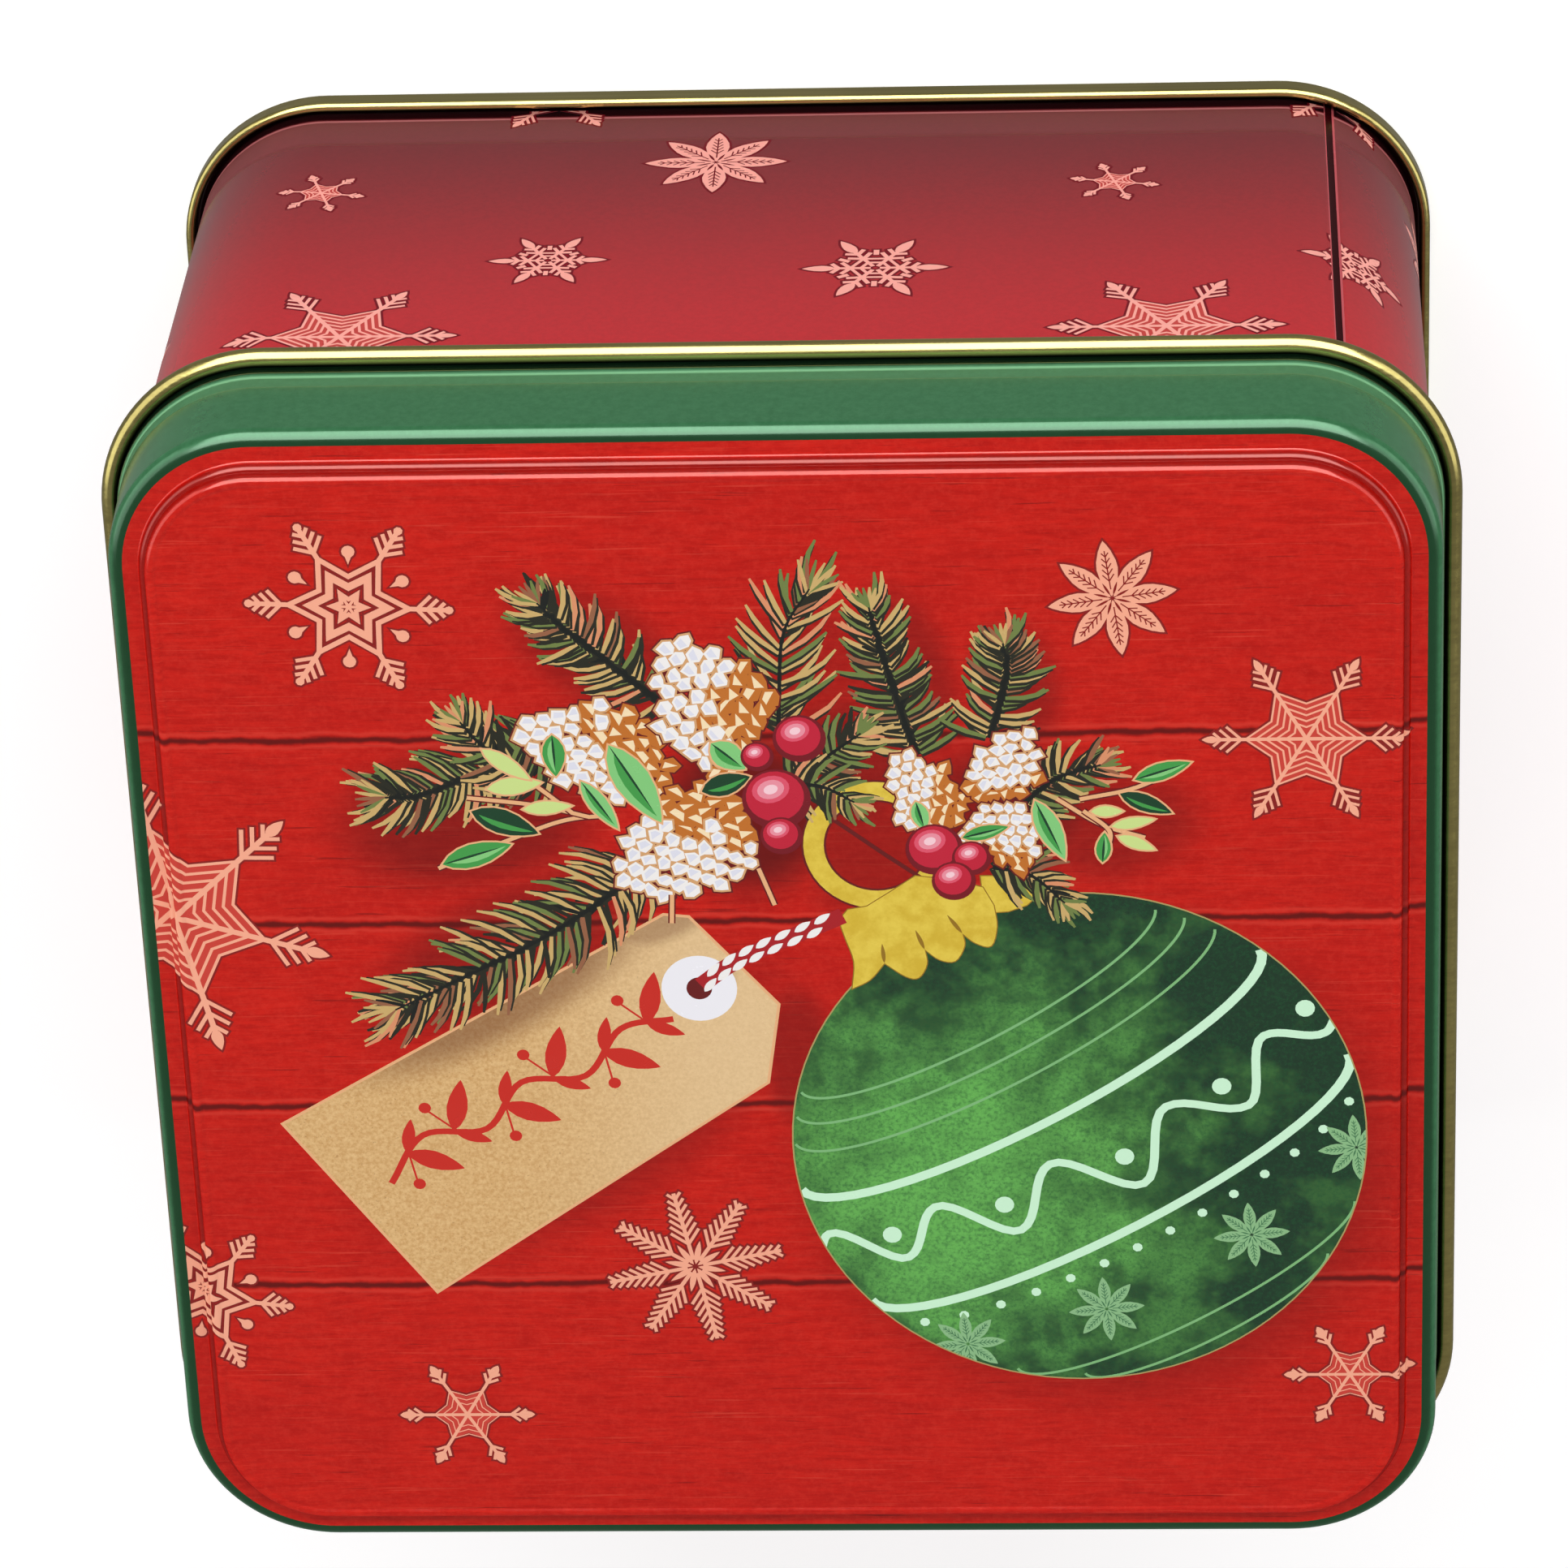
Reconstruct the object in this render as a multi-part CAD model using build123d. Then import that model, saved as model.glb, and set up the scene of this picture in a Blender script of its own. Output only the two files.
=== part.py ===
from build123d import *
import os

# A square slip-lid biscuit tin, in millimetres, standing on its base seam with +Z up. The origin
# is the middle of its footprint. Seen from above every outline is a rounded square, and all their
# corner arcs share one centre, so the section of a sheet is drawn once, as the middle line of the
# tinplate in (distance from the tin's axis, height), and carried around that rounded square.

# Overall
CORNER_CENTRE = 58.0        # X and Y of the centre of each corner arc
SHEET = 0.25                # tinplate thickness
HALF_SHEET = SHEET / 2
LAYER_GAP = 0.05            # between folded layers
CENTRE_HALF_WIDTH = 62.0    # where a flat centre plate meets its swept edge

# Body wall
WALL_FACE = 74.8            # half width over the printed face
MOUTH_ROLL = 1.1            # radius of the inward roll at the mouth
MOUTH_ROLL_TURN = 230       # degrees of roll
LOCK_ANGLE = 22.0           # lock seam, in degrees around the corner from the +Y side
LOCK_WIDTH = 5.0            # the seam's folded layers, on the inside of the wall
LOCK_DEPTH = 0.6

# Base seam and base panel
SEAM_FACE = 76.7            # half width over the seam
SEAM_HEIGHT = 3.2
SEAM_FOLD = 0.6             # radius over the top of the seam
SEAM_FOOT = 0.6             # radius where the seam turns under
HOOK_FACE = 76.1            # outer face of the wall's hook inside the seam
HOOK_TOP = 2.1
COVER_HOOK_END = 1.2        # lower end of the panel's hook inside the seam
RECESS = 3.6                # height of the base panel's underside
BASE_STEP_HALF_WIDTH = 67.0
BASE_STEP = 0.8             # rise of the panel's middle

# Lid
LID_PLANE = 90.2            # top of the flat ring around the raised panel
MOUTH_GAP = 0.1             # between the closed lid and the mouth
SKIRT_FACE = 75.3           # half width over the skirt at the shoulder
SKIRT_LEAN = 0.35           # extra half width at the foot of the plain skirt
SHOULDER = 1.4
CURL_FACE = 78.0            # half width over the curl
CURL_DROP = 16.1            # centre of the curl below LID_PLANE
CURL_TURN = 310             # degrees of roll
FLARE = 0.3                 # step out of the skirt above the curl
FLARE_TOP = 13.3            # below LID_PLANE
FLARE_FOOT = 14.0
PANEL_RISE = 2.2
CREST_RISE = 0.2            # low bead around the panel, above the panel
CREST_FACE = 70.7           # half width over the crest's outer edge
CREST_WIDTH = 0.9
STEP_FOOT_HALF_WIDTH = 71.6
STEP_LEDGE = 0.35           # width of the ledge halfway up the step
STEP_BEND = 0.4


def rounded_square(half_width):
    """The tin's outline at one distance from its axis."""
    return RectangleRounded(2 * half_width, 2 * half_width, half_width - CORNER_CENTRE)


def swept(middle_line):
    """Give a section its thickness and carry it around the tin."""
    upright = Plane(origin=(0, 0, 0), x_dir=(1, 0, 0), z_dir=(0, -1, 0))
    strip = upright * trace(middle_line, line_width=SHEET)
    around = rounded_square(CENTRE_HALF_WIDTH).face().outer_wire()
    return Solid.sweep(strip.face(), around)


def centre_plate(height):
    """The flat middle of a sheet, with its own middle at one height."""
    outline = Pos(0, 0, height - HALF_SHEET) * rounded_square(CENTRE_HALF_WIDTH)
    return extrude(outline, SHEET)


def lock_seam(bottom, top):
    """The folded layers inside the wall where the ends of the wrapped sheet interlock."""
    inner_radius = WALL_FACE - SHEET - CORNER_CENTRE
    layers = Box(
        LOCK_WIDTH,
        LOCK_DEPTH,
        top - bottom,
        align=(Align.CENTER, Align.MAX, Align.MIN),
    )
    sagitta = inner_radius - (inner_radius**2 - (LOCK_WIDTH / 2) ** 2) ** 0.5
    on_arc = Pos(0, inner_radius - sagitta + LAYER_GAP, bottom) * layers
    corner = Pos(CORNER_CENTRE, CORNER_CENTRE, 0)
    return corner * Rot(0, 0, -LOCK_ANGLE) * on_arc


def body_wall():
    """One wrapped sheet: a mouth rolled inwards, a straight wall, and a hook in the base seam."""
    wall = WALL_FACE - HALF_SHEET
    hook = HOOK_FACE - HALF_SHEET
    bend = (hook - wall) / 2
    bend_height = SHEET + LAYER_GAP + HALF_SHEET + bend
    roll = MOUTH_ROLL - HALF_SHEET
    roll_height = LID_PLANE - SHEET - MOUTH_GAP - MOUTH_ROLL
    line = Curve() + [
        Line((hook, HOOK_TOP), (hook, bend_height)),
        CenterArc((wall + bend, bend_height), bend, 0, -180),
        Line((wall, bend_height), (wall, roll_height)),
        CenterArc((wall - roll, roll_height), roll, 0, MOUTH_ROLL_TURN),
    ]
    lock_bottom = RECESS + SHEET + LAYER_GAP
    lock_top = roll_height - MOUTH_ROLL - LAYER_GAP
    return swept(line) + lock_seam(lock_bottom, lock_top)


def base_panel():
    """A stepped plate whose edge runs down inside the wall, turns under it and hooks over its end."""
    inside = WALL_FACE - SHEET - LAYER_GAP - HALF_SHEET
    outside = SEAM_FACE - HALF_SHEET
    fold = SEAM_FOLD - HALF_SHEET
    fold_height = SEAM_HEIGHT - SEAM_FOLD
    panel = RECESS + HALF_SHEET
    middle = panel + BASE_STEP
    edge = FilletPolyline(
        (CENTRE_HALF_WIDTH, middle),
        (BASE_STEP_HALF_WIDTH, middle),
        (BASE_STEP_HALF_WIDTH + BASE_STEP, panel),
        (inside, panel),
        (inside, HALF_SHEET),
        (outside, HALF_SHEET),
        (outside, fold_height),
        radius=[BASE_STEP, BASE_STEP, BASE_STEP, SEAM_FOOT, SEAM_FOOT],
    )
    line = Curve() + [
        edge,
        CenterArc((outside - fold, fold_height), fold, 0, 180),
        Line((outside - 2 * fold, fold_height), (outside - 2 * fold, COVER_HOOK_END)),
    ]
    return swept(line) + centre_plate(middle)


def lid():
    """One drawn sheet: raised panel, stepped edge, flat ring, skirt, and a curl rolled outwards."""
    ring = LID_PLANE - HALF_SHEET
    panel = ring + PANEL_RISE
    crest = panel + CREST_RISE
    crest_inside = CREST_FACE - CREST_WIDTH
    ledge = ring + PANEL_RISE / 2
    ledge_middle = (CREST_FACE + STEP_FOOT_HALF_WIDTH) / 2
    shoulder = SKIRT_FACE - HALF_SHEET
    plain_foot = shoulder + SKIRT_LEAN
    skirt_foot = plain_foot + FLARE
    curl = (CURL_FACE - HALF_SHEET - skirt_foot) / 2
    curl_height = LID_PLANE - CURL_DROP
    section = FilletPolyline(
        (CENTRE_HALF_WIDTH, panel),
        (crest_inside - CREST_RISE, panel),
        (crest_inside + CREST_RISE, crest),
        (CREST_FACE, crest),
        (ledge_middle - STEP_LEDGE / 2, ledge),
        (ledge_middle + STEP_LEDGE / 2, ledge),
        (STEP_FOOT_HALF_WIDTH, ring),
        (shoulder, ring),
        (plain_foot, LID_PLANE - FLARE_TOP),
        (skirt_foot, LID_PLANE - FLARE_FOOT),
        (skirt_foot, curl_height),
        radius=[
            STEP_BEND,
            STEP_BEND,
            STEP_BEND,
            STEP_BEND / 2,
            STEP_BEND / 2,
            STEP_BEND,
            SHOULDER,
            STEP_BEND,
            STEP_BEND,
        ],
    )
    line = Curve() + [
        section,
        CenterArc((skirt_foot + curl, curl_height), curl, 180, CURL_TURN),
    ]
    return swept(line) + centre_plate(panel)


PARTS = {"body_wall": body_wall, "base_panel": base_panel, "lid": lid}

os.makedirs("parts", exist_ok=True)
for node, make in PARTS.items():
    export_step(make(), f"parts/{node}.step")
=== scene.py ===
"""The looks of a square slip-lid cookie tin: its sheet metal, its printed picture and its lacquer.

All lengths here are millimetres, scaled to metres where a mesh is made. Each of the three sheets is
its section, carried around a rounded square whose corner arcs all share one centre. The printing is
thin films of ink that lie on the sheets. Every film is cut from one flat arrangement of shapes, in
which the shape drawn last is the one that shows, and is then laid on the sheet's surface.
"""

import math
import random

import bmesh
import bpy
from mathutils import Matrix, Vector
from mathutils.geometry import delaunay_2d_cdt


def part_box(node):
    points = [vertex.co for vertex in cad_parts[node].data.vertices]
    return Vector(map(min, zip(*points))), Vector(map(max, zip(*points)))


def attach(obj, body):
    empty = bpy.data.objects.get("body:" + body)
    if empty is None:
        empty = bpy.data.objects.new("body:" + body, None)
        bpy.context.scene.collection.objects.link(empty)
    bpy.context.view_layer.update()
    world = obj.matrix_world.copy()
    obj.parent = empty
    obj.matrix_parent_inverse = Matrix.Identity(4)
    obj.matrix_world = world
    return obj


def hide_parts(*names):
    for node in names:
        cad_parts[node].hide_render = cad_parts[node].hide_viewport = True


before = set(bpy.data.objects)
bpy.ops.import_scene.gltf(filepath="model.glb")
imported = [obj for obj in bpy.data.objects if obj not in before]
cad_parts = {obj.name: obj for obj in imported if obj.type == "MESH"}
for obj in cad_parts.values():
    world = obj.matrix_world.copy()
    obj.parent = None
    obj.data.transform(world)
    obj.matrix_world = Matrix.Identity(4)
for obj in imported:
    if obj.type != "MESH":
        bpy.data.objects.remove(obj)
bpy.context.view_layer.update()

MM = 0.001


def across(node):
    """Half the width of a CAD node."""
    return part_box(node)[1].x / MM


def top(node):
    """Height of the highest point of a CAD node."""
    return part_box(node)[1].z / MM


# Shared by the three sheets
CORNER_CENTRE = 58.0
CORNER_STEPS = 24
SHEET = 0.25
HALF_SHEET = SHEET / 2
LAYER_GAP = 0.05
CENTRE_HALF_WIDTH = 62.0

# Printing: how far a film of ink stands above its sheet and reaches into it
INK = 0.02
INK_SUNK = 0.01

# Body wall
WALL_FACE = 74.8
HOOK_FACE = across("body_wall")
HOOK_TOP = 2.1
MOUTH = top("body_wall")
MOUTH_ROLL = 1.1
MOUTH_ROLL_TURN = 230
PRINT_TOP = 86.0
LOCK_ANGLE = 22.0
LOCK_WIDTH = 5.0
LOCK_DEPTH = 0.6
LOCK_BEVEL = 0.12
LOCK_GROOVE = 0.18          # depth of the groove outside the lock seam
GROOVE_FLOOR = 1.5          # half the groove, in degrees around the corner, at its floor
GROOVE_EDGE = 2.2           # and at its edge

# Base seam and base panel
SEAM_FACE = across("base_panel")
SEAM_HEIGHT = 3.2
SEAM_FOLD = 0.6
SEAM_FOOT = 0.6
COVER_HOOK_END = 1.2
RECESS = 3.6
BASE_STEP_HALF_WIDTH = 67.0
BASE_STEP = 0.8

# Lid
PANEL_RISE = 2.2
CREST_RISE = 0.2
CREST_FACE = 70.7
CREST_WIDTH = 0.9
LID_PLANE = top("lid") - INK - PANEL_RISE - CREST_RISE
PANEL = LID_PLANE + PANEL_RISE
STEP_FOOT_HALF_WIDTH = 71.6
STEP_LEDGE = 0.6
STEP_BEND = 0.4
CREST_BEND = 0.62
LEDGE_LIP_BEND = 0.14
LEDGE_BEND = 0.45
SKIRT_FACE = 75.3
SKIRT_LEAN = 0.35
SHOULDER = 1.4
CURL_FACE = across("lid")
CURL_DROP = 16.1
CURL_TURN = 310
FLARE = 0.3
FLARE_TOP = 13.3
FLARE_FOOT = 14.0
RED_EDGE = SKIRT_FACE - SHOULDER - 0.3

# Points and lines
TOUCHING = 1e-4             # points nearer than this are one
ARC_STEP = 8                # degrees between the points of an arc
SHARPEST_MITRE = 0.5        # the least cosine that stretches a corner of a line moved sideways


# ---------------------------------------------------------------- points and lines


def polar(radius, degrees):
    angle = math.radians(degrees)
    return Vector((radius * math.cos(angle), radius * math.sin(angle)))


def left_of(way):
    """A direction turned a quarter to its left."""
    return Vector((-way.y, way.x))


def arc(centre, radius, start, turn):
    """Points along an arc, in degrees."""
    count = max(2, round(abs(turn) / ARC_STEP))
    return [Vector(centre) + polar(radius, start + turn * i / count) for i in range(count + 1)]


def rounded(corners, radii):
    """A line through the corners, each inner one rounded to its radius."""
    corners = [Vector(c) for c in corners]
    line = [corners[0]]
    for before, corner, after, radius in zip(corners, corners[1:], corners[2:], radii):
        way_in = (corner - before).normalized()
        way_out = (after - corner).normalized()
        side = 1 if way_in.cross(way_out) > 0 else -1
        turn = way_in.angle(way_out)
        start = corner - way_in * radius * math.tan(turn / 2)
        centre = start + left_of(way_in) * radius * side
        first = math.degrees(math.atan2(start.y - centre.y, start.x - centre.x))
        line += arc(centre, radius, first, side * math.degrees(turn))
    return line + [corners[-1]]


def mitred(points, before, after, distance):
    """Points moved to the left of their line, whose ways before and after each are given."""
    moved = []
    for point, last, following in zip(points, before, after):
        way = (last + following).normalized()
        moved.append(point + left_of(way) * distance / max(SHARPEST_MITRE, way.dot(last)))
    return moved


def beside(line, distance):
    """The line moved sideways to its left."""
    ways = [(b - a).normalized() for a, b in zip(line, line[1:])]
    return mitred(line, ways[:1] + ways, ways + ways[-1:], distance)


def doubled_area(outline):
    """Twice the area in a closed outline, above 0 where it runs to the left."""
    return sum(a.cross(b) for a, b in zip(outline, outline[1:] + outline[:1]))


def grown(outline, margin):
    """A closed outline moved outwards."""
    ways = [(b - a).normalized() for a, b in zip(outline, outline[1:] + outline[:1])]
    outwards = -math.copysign(margin, doubled_area(outline))
    return mitred(outline, ways[-1:] + ways[:-1], ways, outwards)


def without_repeats(line):
    """The line with no two neighbouring points in one place."""
    return [p for i, p in enumerate(line) if i == 0 or (p - line[i - 1]).length > TOUCHING]


# ---------------------------------------------------------------- sections of the sheets


def lid_section():
    """The lid's middle line, from its flat middle to the end of its curl."""
    ring = LID_PLANE - HALF_SHEET
    panel = ring + PANEL_RISE
    crest = panel + CREST_RISE
    crest_inside = CREST_FACE - CREST_WIDTH
    ledge = ring + PANEL_RISE / 2
    ledge_middle = (CREST_FACE + STEP_FOOT_HALF_WIDTH) / 2
    shoulder = SKIRT_FACE - HALF_SHEET
    plain_foot = shoulder + SKIRT_LEAN
    skirt_foot = plain_foot + FLARE
    curl = (CURL_FACE - HALF_SHEET - skirt_foot) / 2
    curl_height = LID_PLANE - CURL_DROP
    corners = [
        (CENTRE_HALF_WIDTH, panel),
        (crest_inside - CREST_RISE, panel),
        (crest_inside + CREST_RISE, crest),
        (CREST_FACE, crest),
        (ledge_middle - STEP_LEDGE / 2, ledge),
        (ledge_middle + STEP_LEDGE / 2, ledge),
        (STEP_FOOT_HALF_WIDTH, ring),
        (RED_EDGE, ring),
        (shoulder, ring),
        (plain_foot, LID_PLANE - FLARE_TOP),
        (skirt_foot, LID_PLANE - FLARE_FOOT),
        (skirt_foot, curl_height),
    ]
    bends = [STEP_BEND, STEP_BEND, CREST_BEND, LEDGE_LIP_BEND, LEDGE_BEND, STEP_BEND, 0.0, SHOULDER]
    bends += [STEP_BEND] * 2
    centre = (skirt_foot + curl, curl_height)
    return without_repeats(rounded(corners, bends) + arc(centre, curl, 180, CURL_TURN))


def wall_section():
    """The wall's middle line, from its hook to the end of the mouth's roll."""
    wall = WALL_FACE - HALF_SHEET
    hook = HOOK_FACE - HALF_SHEET
    bend = (hook - wall) / 2
    bend_height = SHEET + LAYER_GAP + HALF_SHEET + bend
    roll = MOUTH_ROLL - HALF_SHEET
    roll_height = MOUTH - MOUTH_ROLL
    return without_repeats(
        [Vector((hook, HOOK_TOP))]
        + arc((wall + bend, bend_height), bend, 0, -180)
        + [Vector((wall, PRINT_TOP))]
        + arc((wall - roll, roll_height), roll, 0, MOUTH_ROLL_TURN)
    )


def base_section():
    """The base panel's middle line, from its flat middle to the end of its hook."""
    inside = WALL_FACE - SHEET - LAYER_GAP - HALF_SHEET
    outside = SEAM_FACE - HALF_SHEET
    fold = SEAM_FOLD - HALF_SHEET
    fold_height = SEAM_HEIGHT - SEAM_FOLD
    panel = RECESS + HALF_SHEET
    corners = [
        (CENTRE_HALF_WIDTH, panel + BASE_STEP),
        (BASE_STEP_HALF_WIDTH, panel + BASE_STEP),
        (BASE_STEP_HALF_WIDTH + BASE_STEP, panel),
        (inside, panel),
        (inside, HALF_SHEET),
        (outside, HALF_SHEET),
        (outside, fold_height),
    ]
    bends = [BASE_STEP] * 3 + [SEAM_FOOT] * 2
    return without_repeats(
        rounded(corners, bends)
        + arc((outside - fold, fold_height), fold, 0, 180)
        + [Vector((outside - 2 * fold, COVER_HOOK_END))]
    )


# ---------------------------------------------------------------- sheets as meshes


def corner_angles():
    """The points around the tin, as (quadrant, degrees), with four more at the lock seam."""
    lock = 90 - LOCK_ANGLE
    around = [(q, 90 * (q + i / CORNER_STEPS)) for q in range(4) for i in range(CORNER_STEPS + 1)]
    around += [(0, lock + side * edge) for side in (-1, 1) for edge in (GROOVE_FLOOR, GROOVE_EDGE)]
    return sorted(around)


def plan_point(quadrant, degrees, half_width):
    """A point of the tin's outline at one half width."""
    corner = ((1, 1), (-1, 1), (-1, -1), (1, -1))[quadrant]
    return Vector(corner) * CORNER_CENTRE + polar(half_width - CORNER_CENTRE, degrees)


def new_object(name, data):
    """An object in the scene that holds a mesh, a light or a camera."""
    made = bpy.data.objects.new(name, data)
    bpy.context.scene.collection.objects.link(made)
    return made


def new_piece(name, mesh, body):
    """An object that holds the mesh and rides on the body."""
    piece = new_object(name, mesh)
    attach(piece, body)
    return piece


def finished_mesh(name, shape, materials):
    """A mesh in metres from a bmesh in millimetres, with its normals outwards."""
    bmesh.ops.recalc_face_normals(shape, faces=shape.faces)
    bmesh.ops.scale(shape, vec=(MM, MM, MM), verts=shape.verts)
    mesh = bpy.data.meshes.new(name)
    shape.to_mesh(mesh)
    shape.free()
    for material in materials:
        mesh.materials.append(material)
    return mesh


def carried(line, capped, finish_of, dent_of=lambda is_left, point, degrees: 0):
    """The sheet along a section, carried around the tin, with a flat middle where it is capped.
    finish_of(is_left, point, degrees) is the index of a face's material, and dent_of, which takes
    the same, is how far a point is sunk."""
    left = beside(line, HALF_SHEET)
    right = beside(line, -HALF_SHEET)
    loop = [(p, True) for p in left] + [(p, False) for p in reversed(right)]
    around = corner_angles()
    shape = bmesh.new()
    rings = []
    for point, is_left in loop:
        ring = []
        for quadrant, degrees in around:
            reach = point.x - dent_of(is_left, point, degrees)
            ring.append(shape.verts.new((*plan_point(quadrant, degrees, reach), point.y)))
        rings.append(ring)
    stretches = list(zip(range(len(loop) - 1), range(1, len(loop))))
    if not capped:
        stretches.append((len(loop) - 1, 0))
    for here, there in stretches:
        near, far = rings[here], rings[there]
        middle = (loop[here][0] + loop[there][0]) / 2
        for i in range(len(around)):
            j = (i + 1) % len(around)
            face = shape.faces.new((near[i], near[j], far[j], far[i]))
            degrees = (around[i][1] + around[j][1]) / 2
            face.material_index = finish_of(loop[here][1], middle, degrees)
            face.smooth = True
    if capped:
        for ring, is_left in ((rings[0], True), (rings[-1], False)):
            face = shape.faces.new(ring)
            face.material_index = finish_of(is_left, line[0], 0)
            face.smooth = True
    return shape


FLATS_WEIGHT = 100


def keep_flats_flat(piece):
    """Shading in which the wide flat faces aren't tinted by the small bends beside them."""
    piece.modifiers.new("flats", "WEIGHTED_NORMAL").weight = FLATS_WEIGHT


def add_lock_bar(shape, finish):
    """The folded layers of the lock seam, on the inside of the wall."""
    inner = WALL_FACE - SHEET - CORNER_CENTRE
    depth = inner - math.sqrt(inner**2 - (LOCK_WIDTH / 2) ** 2)
    bottom = RECESS + SHEET + LAYER_GAP
    height = MOUTH - 2 * MOUTH_ROLL - LAYER_GAP - bottom
    where = (
        Matrix.Translation((CORNER_CENTRE, CORNER_CENTRE, bottom + height / 2))
        @ Matrix.Rotation(math.radians(-LOCK_ANGLE), 4, "Z")
        @ Matrix.Translation((0, inner - depth + LAYER_GAP - LOCK_DEPTH / 2, 0))
        @ Matrix.Diagonal((LOCK_WIDTH, LOCK_DEPTH, height, 1))
    )
    made = bmesh.ops.create_cube(shape, size=1, matrix=where)
    edges = {e for v in made["verts"] for e in v.link_edges}
    bevelled = bmesh.ops.bevel(
        shape, geom=list(edges), offset=LOCK_BEVEL, segments=2, affect="EDGES"
    )
    for face in bevelled["faces"]:
        face.material_index = finish
    for vert in made["verts"]:
        for face in vert.link_faces if vert.is_valid else ():
            face.material_index = finish


def make_lid(materials):
    """The lid's sheet, with its red, green and gold finishes."""
    red, green, gold = range(3)

    def finish_of(is_left, point, degrees):
        if not is_left:
            return gold
        return red if point.x < RED_EDGE else green

    shape = carried(lid_section(), True, finish_of)
    piece = new_piece("lid_shell", finished_mesh("lid_shell", shape, materials), "lid")
    keep_flats_flat(piece)
    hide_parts("lid")


def make_wall(materials):
    """The wall's sheet, with its print, its gold, and the lock seam's groove, painted with shade on
    its floor and with a highlight on its slopes.
    """
    printed, joint, groove_highlight, gold = range(4)
    lock = 90 - LOCK_ANGLE

    def finish_of(is_left, point, degrees):
        if is_left or point.y > PRINT_TOP:
            return gold
        # The groove's floor takes painted shade, and its slopes a painted highlight.
        off = abs(degrees - lock)
        return joint if off < GROOVE_FLOOR else groove_highlight if off < GROOVE_EDGE else printed

    def dent_of(is_left, point, degrees):
        in_groove = abs(degrees - lock) < GROOVE_FLOOR + TOUCHING
        printed_side = not is_left and point.y < PRINT_TOP + TOUCHING
        return LOCK_GROOVE if in_groove and printed_side else 0

    shape = carried(wall_section(), False, finish_of, dent_of)
    add_lock_bar(shape, gold)
    mesh = finished_mesh("wall_shell", shape, materials)
    piece = new_piece("wall_shell", mesh, "can")
    keep_flats_flat(piece)
    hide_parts("body_wall")


def make_base(materials):
    """The base panel's sheet, all of it gold."""
    shape = carried(base_section(), True, lambda is_left, point, degrees: 0)
    mesh = finished_mesh("base_shell", shape, materials)
    piece = new_piece("base_shell", mesh, "can")
    keep_flats_flat(piece)
    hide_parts("base_panel")


# ---------------------------------------------------------------- materials


def rgb(red, green, blue):
    """A display colour, each part 0 to 255, as the linear colour that a shader takes."""
    shares = [c / 255 for c in (red, green, blue)]
    linear = [s / 12.92 if s <= 0.04045 else ((s + 0.055) / 1.055) ** 2.4 for s in shares]
    return (*linear, 1.0)


class Shader:
    """A node material, with short calls for the nodes that are used here. Lengths are in mm, and
    colours are display values from 0 to 255."""

    def __init__(self, name, colour):
        self.material = bpy.data.materials.new(name)
        self.material.use_nodes = True
        self.tree = self.material.node_tree
        self.surface = self.tree.nodes["Principled BSDF"]
        self.ground = rgb(*colour)
        self.set("Base Color", self.ground)

    def node(self, kind, inputs=(), **settings):
        made = self.tree.nodes.new(kind)
        for key, value in settings.items():
            setattr(made, key, value)
        for key, value in dict(inputs).items():
            self.feed(made.inputs[key], value)
        return made

    def feed(self, socket, value):
        """Sets a socket, or links it where the value is another node's output."""
        if isinstance(value, bpy.types.NodeSocket):
            self.tree.links.new(value, socket)
        else:
            socket.default_value = value

    def set(self, name, value):
        self.feed(self.surface.inputs[name], value)

    def paint(self, colour, share):
        """Lays a colour over those before it, in a share from 0 to 1."""
        inputs = {0: share, 6: self.ground, 7: rgb(*colour)}
        self.ground = self.node("ShaderNodeMix", inputs, data_type="RGBA").outputs[2]
        self.set("Base Color", self.ground)

    def math(self, operation, first, second=0.0, third=0.0):
        made = self.node("ShaderNodeMath", {0: first, 1: second, 2: third}, operation=operation)
        return made.outputs[0]

    def vector_math(self, operation, first, second=(0, 0, 0)):
        return self.node("ShaderNodeVectorMath", {0: first, 1: second}, operation=operation).outputs

    def gap(self, first, second):
        """How far apart two values are."""
        return self.math("ABSOLUTE", self.math("SUBTRACT", first, second))

    def place(self):
        """The point on the object."""
        if not hasattr(self, "point"):
            where = self.node("ShaderNodeTexCoord").outputs["Object"]
            self.point = self.node(
                "ShaderNodeVectorMath", {0: where, 3: 1 / MM}, operation="SCALE"
            ).outputs[0]
            self.parts = self.node("ShaderNodeSeparateXYZ", {0: self.point}).outputs
        return self.point

    def along(self, axis):
        self.place()
        return self.parts["XYZ".index(axis)]

    def stretched(self, scale, turn=0.0, at=None):
        """The point with each axis scaled, for grain that runs one way."""
        rotation = (0, 0, math.radians(turn))
        inputs = {"Vector": at or self.place(), "Scale": scale, "Rotation": rotation}
        return self.node("ShaderNodeMapping", inputs).outputs[0]

    def noise(self, scale, detail, roughness=0.55, at=None):
        where = at or self.place()
        inputs = {"Vector": where, "Scale": scale, "Detail": detail, "Roughness": roughness}
        return self.node("ShaderNodeTexNoise", inputs).outputs["Fac"]

    def fade(self, value, low, high, low_out=0.0, high_out=1.0):
        """A smooth change from one value to another, clamped outside."""
        inputs = {0: value, 1: low, 2: high, 3: low_out, 4: high_out}
        made = self.node("ShaderNodeMapRange", inputs, interpolation_type="SMOOTHSTEP")
        return made.outputs[0]

    def patches(self, low, high, scale, detail, roughness=0.55, at=None, out=(0.0, 1.0)):
        """Patches where a noise is high, with the fade's soft edges."""
        return self.fade(self.noise(scale, detail, roughness, at), low, high, *out)

    def bump(self, height, depth):
        """depth is the height difference of a height that goes from 0 to 1."""
        made = self.node("ShaderNodeBump", {"Distance": depth * MM, "Height": height})
        self.set("Normal", made.outputs[0])


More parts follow.
